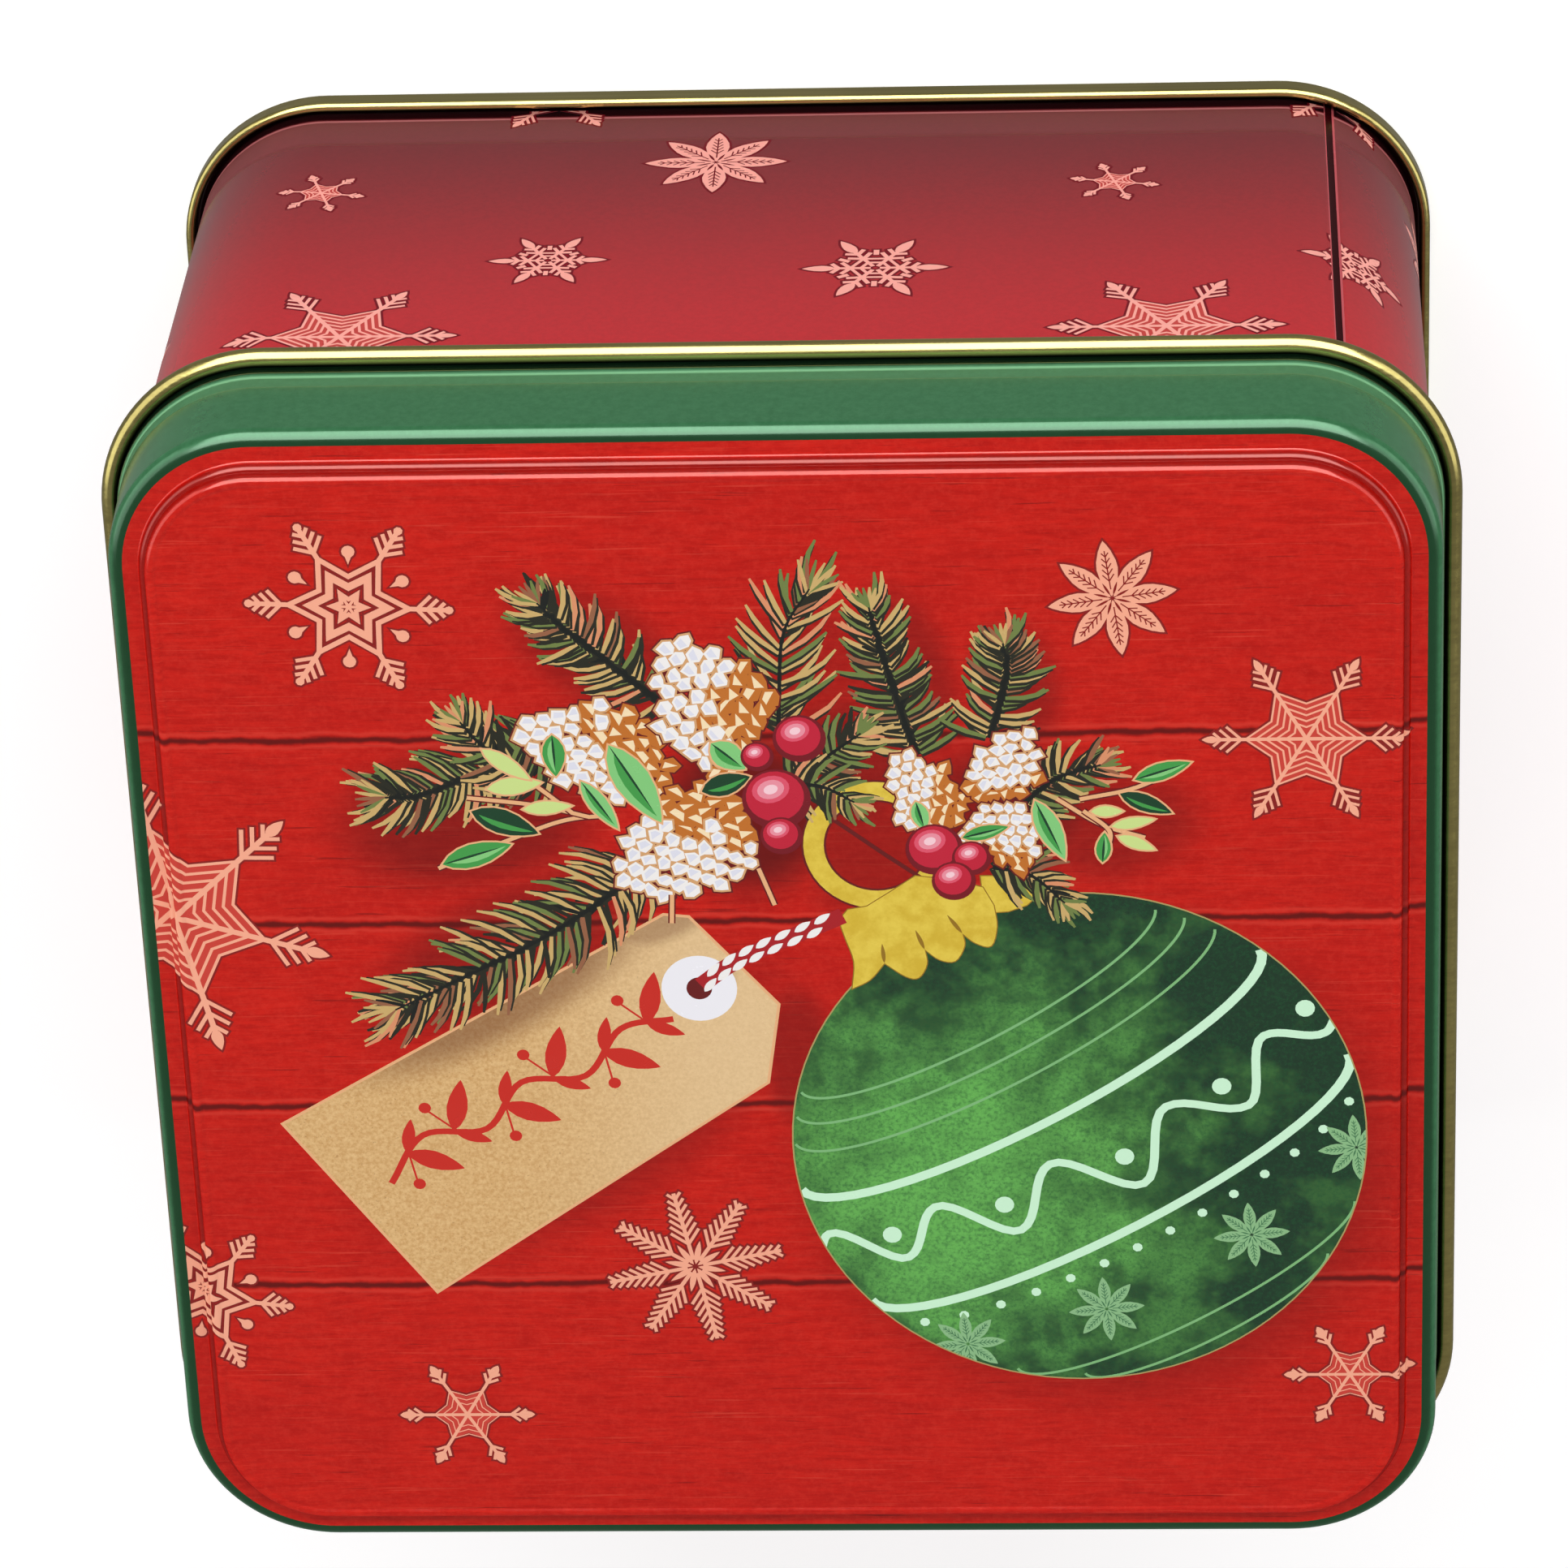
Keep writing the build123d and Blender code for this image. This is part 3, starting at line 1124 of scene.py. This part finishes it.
def draw_cone(picture, chance, points, axis, snow):
    """A pine cone: rows of scales in an outline, turned to the angle axis, and snowy on the side at
    the angle snow."""
    outline = closed_curve(points)
    centre = sum(points, Vector((0, 0))) / len(points)
    reach = max((p - centre).length for p in points)
    spin = Matrix.Rotation(math.radians(axis), 2)
    pitch = 0.96 + 0.105 * reach
    rows = range(-round(reach / pitch) - 3, round(reach / pitch) + 4)
    scales = []
    for row in rows:
        for column in rows:
            sideways = (column + row % 2 / 2) * pitch
            at = Vector((row * pitch * 0.86 - 0.035 * sideways**2, sideways))
            jitter = [polar(chance.uniform(0, 0.2), chance.uniform(0, 360)) for _ in SCALE]
            scale = [centre + spin @ (at + (Vector(c) + j) * pitch) for c, j in zip(SCALE, jitter)]
            middle = centre + spin @ at
            side = (middle - centre).dot(polar(1, snow)) / reach + chance.uniform(-0.25, 0.25)
            if inside(middle, outline):
                scales.append((middle, scale, side > -0.15))
    picture.draw("hole", [grown(scale, 0.35) for _, scale, _ in scales])
    for ink, wanted in (("cone_brown", False), ("cone_tan", True)):
        picture.draw(ink, [grown(scale, 0.16) for _, scale, snowy in scales if snowy == wanted])
    for middle, scale, snowy in scales:
        if snowy:
            picture.draw("snow", [[middle.lerp(p, 0.9) for p in scale]])
            picture.draw("frost", [[middle.lerp(p, 0.62) for p in scale[:4]]])
        else:
            wedge = [scale[0], scale[1], scale[3]] if chance.random() < 0.5 else scale[1:5]
            picture.draw("cream", [[middle.lerp(p, 0.8) for p in wedge]])


# The inks of a leaf and of its half on one side of the midrib
LEAF_TONES = {
    "dark": ("leaf_dark", "leaf_mid"),
    "mid": ("leaf_mid", "leaf_light"),
    "light": ("leaf_light", "leaf_mid"),
    "pale": ("leaf_pale", "leaf_pale"),
}


def draw_leaf(picture, start, end, width, tone):
    """A leaf with an outline, a half in another tone and a midrib."""
    whole, half = LEAF_TONES[tone]
    body = leaf(start, end, width)
    picture.draw("edge", [grown(body, 0.22)])
    picture.draw(whole, [body])
    start, end = Vector(start), Vector(end)
    inner = leaf(start.lerp(end, 0.1), start.lerp(end, 0.92), width * 0.55)
    picture.draw(half, [inner[:8]])
    if tone != "pale":
        picture.draw("leaf_dark", [leaf(start, start.lerp(end, 0.85), 0.3)])


def draw_berry(picture, centre, radius):
    """A berry with a dark edge and a highlight in three steps."""
    centre = Vector(centre)
    picture.draw("berry_dark", [disc(centre, radius + 0.15, 28)])
    lit = centre + Vector((-0.04, 0.1)) * radius
    picture.draw("berry_red", [oval(lit, radius * 0.88, radius * 0.86, 24)])
    spot = centre + Vector((-0.16, 0.34)) * radius
    for step, length, width in (("rose", 0.58, 0.46), ("pink", 0.42, 0.32), ("shine", 0.22, 0.16)):
        picture.draw(f"berry_{step}", [oval(spot, radius * length, radius * width, 20, 18)])


BAUBLE_CENTRE = (33.3, -17.4)
BAUBLE_RADIUS = 33.5
BAUBLE_AXIS = 121.0
BAUBLE_TILT = 13.0


def on_bauble(outlines):
    """Outlines in bauble radii, with +Y to its cap, placed on the picture."""
    return turned(outlines, BAUBLE_CENTRE, BAUBLE_AXIS - 90, BAUBLE_RADIUS)


def latitude(degrees, count=28):
    """The visible half of a circle around the bauble, in bauble radii."""
    up, tilt = math.radians(degrees), math.radians(BAUBLE_TILT)
    line = []
    for i in range(count + 1):
        around = math.radians(-90 + 180 * i / count)
        low = math.cos(up) * math.cos(around) * math.sin(tilt)
        line.append((math.cos(up) * math.sin(around), math.sin(up) * math.cos(tilt) - low))
    return line


def wave_through(turns, count=8):
    """A round wave through its turning points."""
    line = []
    for (x, y), (next_x, next_y) in zip(turns, turns[1:]):
        for i in range(count):
            share = i / count
            rise = (1 - math.cos(math.pi * share)) / 2
            line.append((x + (next_x - x) * share, y + (next_y - y) * rise))
    return line + [turns[-1]]


def draw_bauble(picture):
    """A bauble with thin and thick circles, a wave, dots and four small flakes."""
    ball = disc(BAUBLE_CENTRE, BAUBLE_RADIUS, 96)
    picture.draw("bauble_edge", [grown(ball, 0.18)])
    bauble = picture.draw("bauble", [ball])
    for degrees in (43.8, 37.8, 31.2, -46.0, -60.0):
        line = latitude(degrees, 56)
        dashes = [ribbon(line[i : i + 4], 0.01) for i in range(0, len(line) - 3, 3)]
        picture.draw("mint_faint", on_bauble(dashes), bauble)
    for degrees in (20.0, -11.0):
        picture.draw("mint", on_bauble([ribbon(latitude(degrees), 0.034)]), bauble)
    wave = [(-1.06, 0.06), (-0.96, 0.13), (-0.77, -0.1), (-0.58, 0.03)]
    wave += [(-0.37, -0.21), (-0.14, -0.03), (0.1, -0.27), (0.33, -0.04)]
    wave += [(0.58, -0.185), (0.77, 0.03), (0.96, -0.07), (1.04, -0.03)]
    picture.draw("mint", on_bauble([ribbon(wave_through(wave), 0.031)]), bauble)
    for spot in ((-0.77, 0.01), (-0.365, -0.09), (0.1, -0.14), (0.54, -0.07), (0.95, 0.05)):
        picture.draw("mint", on_bauble([disc(spot, 0.034, 14)]), bauble)
    for i in range(14):
        x = -0.87 + 0.135 * i
        low = 0.216 * math.sqrt(1 - (x / 0.96) ** 2)
        picture.draw("mint", on_bauble([disc((x, -0.27 - low), 0.018, 8)]), bauble)
    for spot in ((-0.79, -0.52), (-0.29, -0.65), (0.31, -0.65), (0.81, -0.53)):
        picture.draw("sage", on_bauble(turned(petal_flake(), spot, 20, 0.135)), bauble)
        picture.draw("sage_dark", on_bauble(turned(petal_veins(), spot, 20, 0.135)), bauble)


EYELET = (-10.4, 3.8)


def draw_tag(picture):
    """A kraft paper tag with its eyelet and a leafy vine."""
    corners = [(-60.1, -14.4), (-43.4, -37.9), (-3.0, -9.0)]
    corners += [(-1.4, 1.5), (-11.3, 13.3), (-14.1, 13.6)]
    card = [Vector(c) for c in corners]
    picture.draw("edge", [grown(card, 0.35)])
    picture.draw("kraft", [card])
    stem = smooth([(-21, -2), (-14, 1.6), (-7, -1.6), (0, 1.6), (7, -1.6), (14, 1.6), (20, -0.5)])
    vine = [ribbon(stem, 0.8)]
    side = -1
    for x, y in ((-17, 0.6), (-10.5, 0.2), (-3.5, 0.2), (3.5, 0.2), (10.5, 0.2), (17, 0.6)):
        vine.append(leaf((x, y), (x + 4.6, y + side * 5.4), 2.5))
        vine.append(leaf((x, y), (x + 3.0, y - side * 3.6), 1.6))
        vine.append(disc((x - 1.2, y + side * 4.4), 0.75, 12))
        vine.append(bar((x - 1.2, y + side * 4.0), (x + 0.2, y), 0.25))
        side = -side
    picture.draw("motif", turned(vine, (-31.0, -10.2), 31))
    picture.draw("eyelet", [disc(EYELET, 4.4, 40)])
    picture.draw("hole", [disc(EYELET, 1.5, 20)])


def draw_twine(picture):
    """A two-coloured twisted cord from the tag's eyelet to the bauble's cap."""
    line = smooth([(-10.2, 4.2), (-6.6, 7.0), (-2.6, 9.2), (2.0, 11.3), (6.6, 13.4)])
    picture.draw("twine_red", [ribbon(line, 2.1)])
    for i in range(3, len(line) - 2, 4):
        way = (line[i + 1] - line[i]).normalized()
        side = left_of(way)
        for offset in (-0.5, 0.5):
            at = line[i] + side * offset * 1.3 + way * offset * 1.6
            lean = (way + side * 0.22) * 1.15
            picture.draw("snow", [leaf(at - lean, at + lean, 0.95)])


def draw_cap(picture):
    """The bauble's gold ring and its scalloped cap."""
    centre = Vector((10.7, 22.7))
    for ink, outer, inner in (("hole", 8.6, 5.75), ("gold", 8.35, 6.0)):
        hoop = disc((0, 0), outer, 48)
        picture.draw(ink, turned(band(hoop, inner / outer), centre))
    picture.draw("hole", [ribbon([(5.6, 26.4), (11.8, 21.4), (17.0, 17.4)], 0.5)])
    behind = [(22.6, 18.5), (23.0, 13.6), (25.7, 13.8), (27.8, 14.6), (29.4, 16.2), (27.2, 18.5)]
    cap = [(9.4, 14.6), (12.3, 16.6), (15.1, 18.6), (19.4, 18.0), (22.8, 17.0)]
    for edge in (
        [(24.0, 14.6), (24.3, 11.8), (23.6, 9.2), (21.8, 9.6), (20.3, 10.9)],
        [(20.3, 10.9), (20.5, 9.2), (19.4, 7.2), (17.6, 7.4), (15.9, 8.8)],
        [(15.9, 8.8), (16.1, 6.8), (15.1, 5.0), (13.6, 5.2), (11.2, 7.0)],
        [(11.2, 7.0), (9.5, 4.8), (7.4, 3.6)],
        [(7.4, 3.6), (7.7, 7.2), (6.8, 10.4), (6.3, 12.7), (7.2, 14.2)],
    ):
        cap += smooth(edge, 4)
    for outline in ([Vector(p) for p in behind], without_repeats([Vector(p) for p in cap])):
        picture.draw("gold_dark", [grown(outline, 0.13)])
        picture.draw("gold", [outline])
    notches = ((20.3, 10.9), (18.6, 13.4)), ((15.9, 8.8), (14.9, 11.4)), ((11.2, 7.0), (11.0, 9.6))
    for start, end in notches:
        picture.draw("gold_dark", [leaf(start, end, 0.5)])


def draw_greenery(picture):
    """The conifer twigs. Each is its stem from tip to base, the length of its needles, the number
    of pairs, how far they spread, and how dark its core is."""
    chance = random.Random(20)
    sprigs = [
        ([(-26.6, 54.6), (-24.1, 51.8), (-19.7, 47.6), (-12.5, 41.3)], 6.4, 42, 60, 0.7),
        ([(4.2, 56.0), (1.1, 50.4), (0.3, 42.1), (0.1, 37.9)], 8.6, 24, 50, 0.0),
        ([(10.8, 53.6), (12.0, 48.2), (13.6, 41.9), (15.7, 34.5)], 6.0, 40, 60, 0.7),
        ([(25.8, 48.8), (26.1, 44.9), (24.1, 36.6)], 5.8, 27, 62, 0.6),
        ([(-45.4, 29.6), (-41.1, 29.9), (-33.5, 33.0), (-25.9, 35.0)], 7.6, 38, 58, 0.7),
        ([(-36.2, 39.4), (-34.0, 36.5), (-29.0, 32.0)], 6.0, 17, 54, 0.3),
        ([(-46.0, 1.2), (-38.9, 4.9), (-27.2, 11.4), (-16.3, 19.4)], 8.6, 58, 54, 0.5),
        ([(36.6, 33.0), (31.4, 31.2), (27.6, 28.0)], 5.6, 22, 56, 0.5),
        ([(32.2, 14.8), (28.4, 18.5), (24.0, 19.7)], 5.6, 18, 50, 0.1),
        ([(9.4, 37.4), (5.7, 34.6), (1.5, 31.3)], 6.0, 16, 58, 0.0),
        ([(8.4, 28.4), (5.0, 30.4), (1.5, 30.9)], 5.2, 11, 58, 0.0),
    ]
    for spine, length, pairs, spread, core in sprigs:
        draw_sprig(picture, chance, [Vector(p) for p in spine], length, pairs, spread, core)


def draw_cones(picture):
    """The pine cones. Each is its axis, the side of its snow, and the points of its outline."""
    chance = random.Random(4)
    cones = [
        (-20, 205, (-30.1, 37.0), (-27.0, 40.2), (-22.6, 42.0), (-16.3, 40.2), (-12.5, 35.6),
         (-13.4, 30.7), (-15.6, 28.9), (-22.2, 29.8), (-27.5, 34.0)),
        (100, 165, (-13.6, 48.0), (-10.4, 50.0), (-4.6, 47.1), (-0.6, 42.2), (-2.0, 36.2),
         (-6.3, 31.0), (-11.0, 33.5), (-13.8, 39.4)),
        (12, 255, (-18.5, 23.2), (-18.4, 17.6), (-13.1, 16.2), (-5.5, 18.4), (-2.5, 22.2),
         (-3.7, 27.6), (-9.1, 31.2), (-14.4, 28.4)),
        (110, 165, (13.1, 33.8), (15.8, 34.4), (19.7, 31.8), (21.0, 27.6), (18.9, 24.5),
         (14.6, 24.2), (12.9, 29.4)),
        (40, 100, (21.0, 30.9), (23.2, 35.6), (28.2, 38.1), (29.9, 34.4), (28.9, 30.5),
         (25.0, 28.0), (21.8, 28.7)),
        (-35, 80, (20.3, 24.1), (22.4, 27.2), (27.6, 28.0), (29.5, 22.4), (28.6, 19.4),
         (26.2, 19.2), (22.8, 22.6)),
    ]
    for axis, snow, *points in cones:
        draw_cone(picture, chance, [Vector(p) for p in points], axis, snow)


def draw_leaves(picture):
    """Thin twigs, and the leaves on and beside them."""
    twigs = [
        [(-39.8, 20.2), (-30.2, 24.4), (-24.5, 26.5), (-18.9, 27.0)],
        [(-36.0, 29.5), (-28.0, 28.4), (-22.0, 26.8)],
        [(-33.5, 35.5), (-28.0, 31.0), (-24.0, 27.4)],
        [(34.1, 28.5), (40.6, 30.0), (46.6, 33.1)],
        [(31.5, 28.6), (36.5, 25.2), (41.5, 23.4)],
        [(34.5, 27.0), (37.4, 24.4), (37.2, 21.8)],
        [(-2.9, 19.8), (-1.2, 14.9)],
        [(-13.0, 16.4), (-13.2, 12.6)],
    ]
    for twig in twigs:
        line = smooth(twig) if len(twig) > 2 else twig
        picture.draw("hole", [ribbon(line, 0.85)])
        picture.draw("edge", [ribbon(line, 0.5)])
    leaves = [
        ((-39.3, 20.7), (-31.2, 23.3), 3.0, "mid"),
        ((-35.6, 27.7), (-28.0, 24.7), 3.2, "dark"),
        ((-33.6, 30.6), (-27.3, 31.4), 2.2, "pale"),
        ((-29.6, 27.9), (-24.0, 28.3), 1.7, "pale"),
        ((-33.9, 35.8), (-28.6, 31.8), 1.9, "pale"),
        ((-25.8, 37.6), (-25.6, 32.2), 2.6, "mid"),
        ((-19.4, 36.2), (-13.8, 26.0), 4.2, "light"),
        ((-22.8, 31.5), (-18.8, 25.2), 2.2, "light"),
        ((-9.0, 30.0), (-3.4, 31.9), 2.8, "dark"),
        ((-7.7, 36.3), (-3.9, 32.9), 3.4, "light"),
        ((40.4, 31.0), (46.8, 33.2), 2.2, "mid"),
        ((38.7, 29.2), (44.6, 26.6), 2.2, "dark"),
        ((35.4, 26.9), (39.0, 26.9), 1.4, "pale"),
        ((37.7, 24.9), (42.6, 25.8), 1.4, "pale"),
        ((38.4, 23.6), (42.6, 21.8), 1.5, "pale"),
        ((36.6, 20.2), (36.9, 24.1), 1.7, "mid"),
        ((29.0, 28.4), (32.3, 20.6), 2.8, "light"),
        ((20.6, 23.6), (25.9, 25.0), 1.8, "mid"),
        ((15.4, 28.4), (16.4, 24.6), 2.0, "light"),
    ]
    for start, end, width, tone in leaves:
        draw_leaf(picture, start, end, width, tone)


def draw_berries(picture):
    berries = [((2.4, 36.8), 2.9), ((-2.5, 34.5), 1.75), ((-0.5, 28.9), 3.8), ((-0.1, 24.1), 2.3)]
    berries += [((17.4, 22.1), 3.2), ((21.6, 20.9), 2.1), ((19.5, 17.9), 2.4)]
    for centre, radius in berries:
        draw_berry(picture, centre, radius)


def lid_picture():
    """Snowflakes, a bauble, a tag, and greenery with cones, leaves and berries over them."""
    picture = Picture()
    flakes = [
        (star_flake, (-47.9, 54.4), 11.7, -3),
        (petal_flake, (38.2, 54.4), 7.3, 8),
        (web_flake, (59.9, 36.1), 11.5, 0),
        (feather_flake, (-12.5, -34.7), 10.7, 12),
        (arrow_flake, (-40.9, -55.8), 8.0, 0),
        (arrow_flake, (65.0, -50.6), 7.7, 0),
        (web_flake, (-70.9, 14.0), 18.0, -17),
        (star_flake, (-71.7, -38.6), 10.8, -8),
    ]
    for flake, centre, radius, turn in flakes:
        inks = "flake_rim", "flake_faint", "flake"
        draw_flake(picture, flake, centre, radius, turn, inks, (0.25, 0.0))
    draw_bauble(picture)
    draw_tag(picture)
    draw_cap(picture)
    draw_twine(picture)
    draw_greenery(picture)
    draw_cones(picture)
    draw_leaves(picture)
    draw_berries(picture)
    return picture


# ---------------------------------------------------------------- the wall's surface and picture

# The unrolled print: its x runs around the tin from the middle of the +Y side towards +X, and its
# y is height
CORNER_RADIUS = WALL_FACE - CORNER_CENTRE
SIDE_LENGTH = 2 * CORNER_CENTRE + CORNER_RADIUS * math.pi / 2
LOCK_PLACE = CORNER_CENTRE + CORNER_RADIUS * math.radians(LOCK_ANGLE)
LOCK_MARGIN = 0.68
PRINT_START = LOCK_PLACE - 4 * SIDE_LENGTH + LOCK_MARGIN
PRINT_END = LOCK_PLACE - LOCK_MARGIN
REPEAT = 4 * SIDE_LENGTH / 6


def lay_on_wall(point, lift):
    """The place on the wall of a point of the unrolled print."""
    side, along = divmod(point.x + CORNER_CENTRE, SIDE_LENGTH)
    if along <= 2 * CORNER_CENTRE:
        place = Vector((along - CORNER_CENTRE, WALL_FACE + lift))
    else:
        angle = math.degrees((along - 2 * CORNER_CENTRE) / CORNER_RADIUS)
        place = Vector((CORNER_CENTRE, CORNER_CENTRE)) + polar(CORNER_RADIUS + lift, 90 - angle)
    place = Matrix.Rotation(math.radians(-90 * side), 2) @ place
    return place.x, place.y, point.y


def wall_cuts():
    """Upright lines around the corners, so that films bend with the wall."""
    made = [((PRINT_START, y), (PRINT_END, y)) for y in (HOOK_TOP, PRINT_TOP)]
    upright = [PRINT_START, PRINT_END]
    for side in range(-4, 1):
        for i in range(CORNER_STEPS + 1):
            corner = CORNER_RADIUS * math.radians(90 * i / CORNER_STEPS)
            upright.append(side * SIDE_LENGTH + CORNER_CENTRE + corner)
    made += [((x, HOOK_TOP), (x, PRINT_TOP)) for x in upright if PRINT_START <= x <= PRINT_END]
    return made


def wall_picture():
    """Snowflakes that repeat six times around the tin, and run on past both ends of the print."""
    picture = Picture()
    flakes = [
        (arrow_flake, (-56.5, 25.1), 5.3, 12),
        (web_flake, (-29.6, -2.5), 10.3, 0),
        (diamond_flake, (-27.8, 44.9), 6.9, 0),
        (petal_flake, (-9.5, 17.9), 8.5, 0),
        (diamond_flake, (10.7, 48.2), 8.5, 0),
        (web_flake, (-50.4, 64.7), 13.2, 0),
    ]
    inks = "halo", "wall_faint", "flake_pink"
    for shift in range(-5, 3):
        for flake, (x, height), radius, turn in flakes:
            place = (x + shift * REPEAT, height)
            draw_flake(picture, flake, place, radius, turn, inks, (0.32, 0.03))
    return picture


def on_print(point):
    """Whether a point of the unrolled print is on the sheet, clear of its seams."""
    return PRINT_START < point.x < PRINT_END and HOOK_TOP < point.y < PRINT_TOP


# ---------------------------------------------------------------- the scene


def make_inks():
    """Each ink's material. The keys are the names that the pictures draw with."""
    inks = {
        "flake": (250, 172, 142),
        "flake_rim": (136, 18, 14),
        "flake_faint": (206, 62, 50),
        "edge": (236, 178, 128),
        "needle_dark": (34, 34, 20),
        "needle_black": (14, 18, 12),
        "needle_rose": (222, 146, 104),
        "needle_olive": (112, 128, 66),
        "needle_tan": (206, 172, 108),
        "needle_brown": (150, 96, 66),
        "cone_brown": (196, 112, 36),
        "cone_tan": (216, 164, 112),
        "cream": (250, 226, 184),
        "snow": (246, 242, 240),
        "frost": (226, 226, 238),
        "leaf_light": (132, 204, 124),
        "leaf_mid": (66, 156, 72),
        "leaf_dark": (14, 62, 34),
        "leaf_pale": (206, 226, 140),
        "berry_dark": (118, 8, 24),
        "berry_red": (196, 26, 54),
        "berry_rose": (226, 84, 108),
        "berry_pink": (238, 146, 162),
        "berry_shine": (252, 208, 216),
        "eyelet": (244, 242, 248),
        "hole": (104, 14, 14),
        "gold_dark": (150, 112, 24),
        "twine_red": (172, 22, 30),
        "mint": (208, 248, 214),
        "mint_faint": (128, 186, 122),
        "sage": (140, 188, 134),
        "sage_dark": (64, 118, 76),
        "bauble_edge": (176, 156, 96),
        "motif": (204, 38, 24),
        "flake_pink": (236, 160, 148),
        "halo": (112, 22, 32),
        "wall_faint": (186, 66, 62),
    }
    made = {name: plain_ink(f"ink_{name}", colour) for name, colour in inks.items()}
    return made | {"gold": gold_ink(), "kraft": kraft_paper(), "bauble": bauble_green()}


FLOOR_HALF_WIDTH = 3000.0
FLOOR_DROP = 0.05           # below the tin's foot
FLOOR_GLOW = 0.55


def make_floor():
    """A pale floor that can be seen through from below."""
    mesh = bpy.data.meshes.new("floor")
    corners = [
        Vector((x * FLOOR_HALF_WIDTH, y * FLOOR_HALF_WIDTH, -FLOOR_DROP)) * MM
        for x, y in ((-1, -1), (1, -1), (1, 1), (-1, 1))
    ]
    mesh.from_pydata(corners, [], [(0, 1, 2, 3)])
    shader = Shader("pale_floor", (205, 205, 205))
    below = shader.node("ShaderNodeNewGeometry").outputs["Backfacing"]
    shader.set("Alpha", shader.math("SUBTRACT", 1.0, below))
    shader.set("Roughness", 0.8)
    shader.set("Specular IOR Level", 0.1)
    shader.set("Emission Color", (1, 1, 1, 1))
    shader.set("Emission Strength", FLOOR_GLOW)
    mesh.materials.append(shader.material)
    floor = new_object("floor", mesh)
    floor.visible_glossy = False


def aimed(place, target, upward):
    """A matrix at a place whose -Z looks at the target, with +Y upward."""
    back = (place - target).normalized()
    side = upward.cross(back).normalized()
    turn = Matrix((side, back.cross(side), back)).transposed()
    return Matrix.Translation(place) @ turn.to_4x4()


# What the lights look at, in metres, and their upward way, which is never the way they look
LIGHT_TARGET = (0, 0, 0.06)
LIGHT_UPWARD = (0, 0.01, 1)


def add_light(name, place, width, height, power, lights=True, gleams=True):
    """A soft light that looks at the tin, with its place and size in metres. It lights surfaces,
    shows as a gleam in glossy ones, or does both."""
    light = bpy.data.lights.new(name, "AREA")
    light.shape = "RECTANGLE"
    light.size = width
    light.size_y = height
    light.energy = power
    holder = new_object(name, light)
    holder.matrix_world = aimed(Vector(place), Vector(LIGHT_TARGET), Vector(LIGHT_UPWARD))
    holder.visible_diffuse = lights
    holder.visible_glossy = gleams


# The camera's place and target were solved from the lid's outlines in the photo
SENSOR = 36
FOCAL_LENGTH = 163.47
CAMERA_PLACE = (47.13, 428.90, LID_PLANE + 708.74)
CAMERA_TARGET = (0.3, 29.65, LID_PLANE)
CAMERA_UPWARD = (0.0369, 1, 0)


def make_camera():
    data = bpy.data.cameras.new("camera")
    data.sensor_width = SENSOR
    data.lens = FOCAL_LENGTH
    data.clip_start = 0.01
    camera = new_object("camera", data)
    place, target = Vector(CAMERA_PLACE) * MM, Vector(CAMERA_TARGET) * MM
    camera.matrix_world = aimed(place, target, Vector(CAMERA_UPWARD))
    bpy.context.scene.camera = camera


def make_world():
    """Weak white light from all around."""
    world = bpy.data.worlds.new("studio")
    world.use_nodes = True
    back = world.node_tree.nodes["Background"]
    back.inputs["Color"].default_value = (1, 1, 1, 1)
    back.inputs["Strength"].default_value = 0.25
    bpy.context.scene.world = world


gold = gold_lacquer()
# Painted shade for the floor of the lock seam's groove, and a painted highlight for its slopes.
joint = plain_ink("groove_painted_shade", (46, 4, 8), JOINT_GLOSS)
groove_highlight = plain_ink("groove_highlight", (186, 84, 90))
make_lid([painted_boards(), skirt_green(), gold])
make_wall([wall_red(), joint, groove_highlight, gold])
make_base([gold])
inks = make_inks()
print_films(
    lid_picture(),
    inks,
    lid_cuts(),
    lambda point: half_width_at(point) < RED_EDGE,
    lid_layer(),
    "lid",
    "lid",
)
print_films(wall_picture(), inks, wall_cuts(), on_print, lay_on_wall, "wall", "can")

make_floor()
make_camera()
make_world()
add_light("key", (0.0, 0.8, 0.9), 1.4, 0.22, 9, gleams=False)
add_light("softbox", (0.0, 0.95, 0.8), 1.6, 1.55, 40, lights=False)
add_light("left", (-1.1, 0.1, 0.6), 0.8, 0.5, 5, gleams=False)
add_light("right", (1.1, 0.1, 0.6), 0.8, 0.5, 4, gleams=False)
add_light("front", (0.0, -1.3, 0.5), 1.2, 0.4, 5, gleams=False)
add_light("left_card", (-1.1, 0.3, 0.6), 1.4, 1.1, 7, lights=False)
add_light("right_card", (1.1, 0.3, 0.6), 1.4, 1.1, 7, lights=False)
bpy.context.scene.view_settings.view_transform = "Standard"
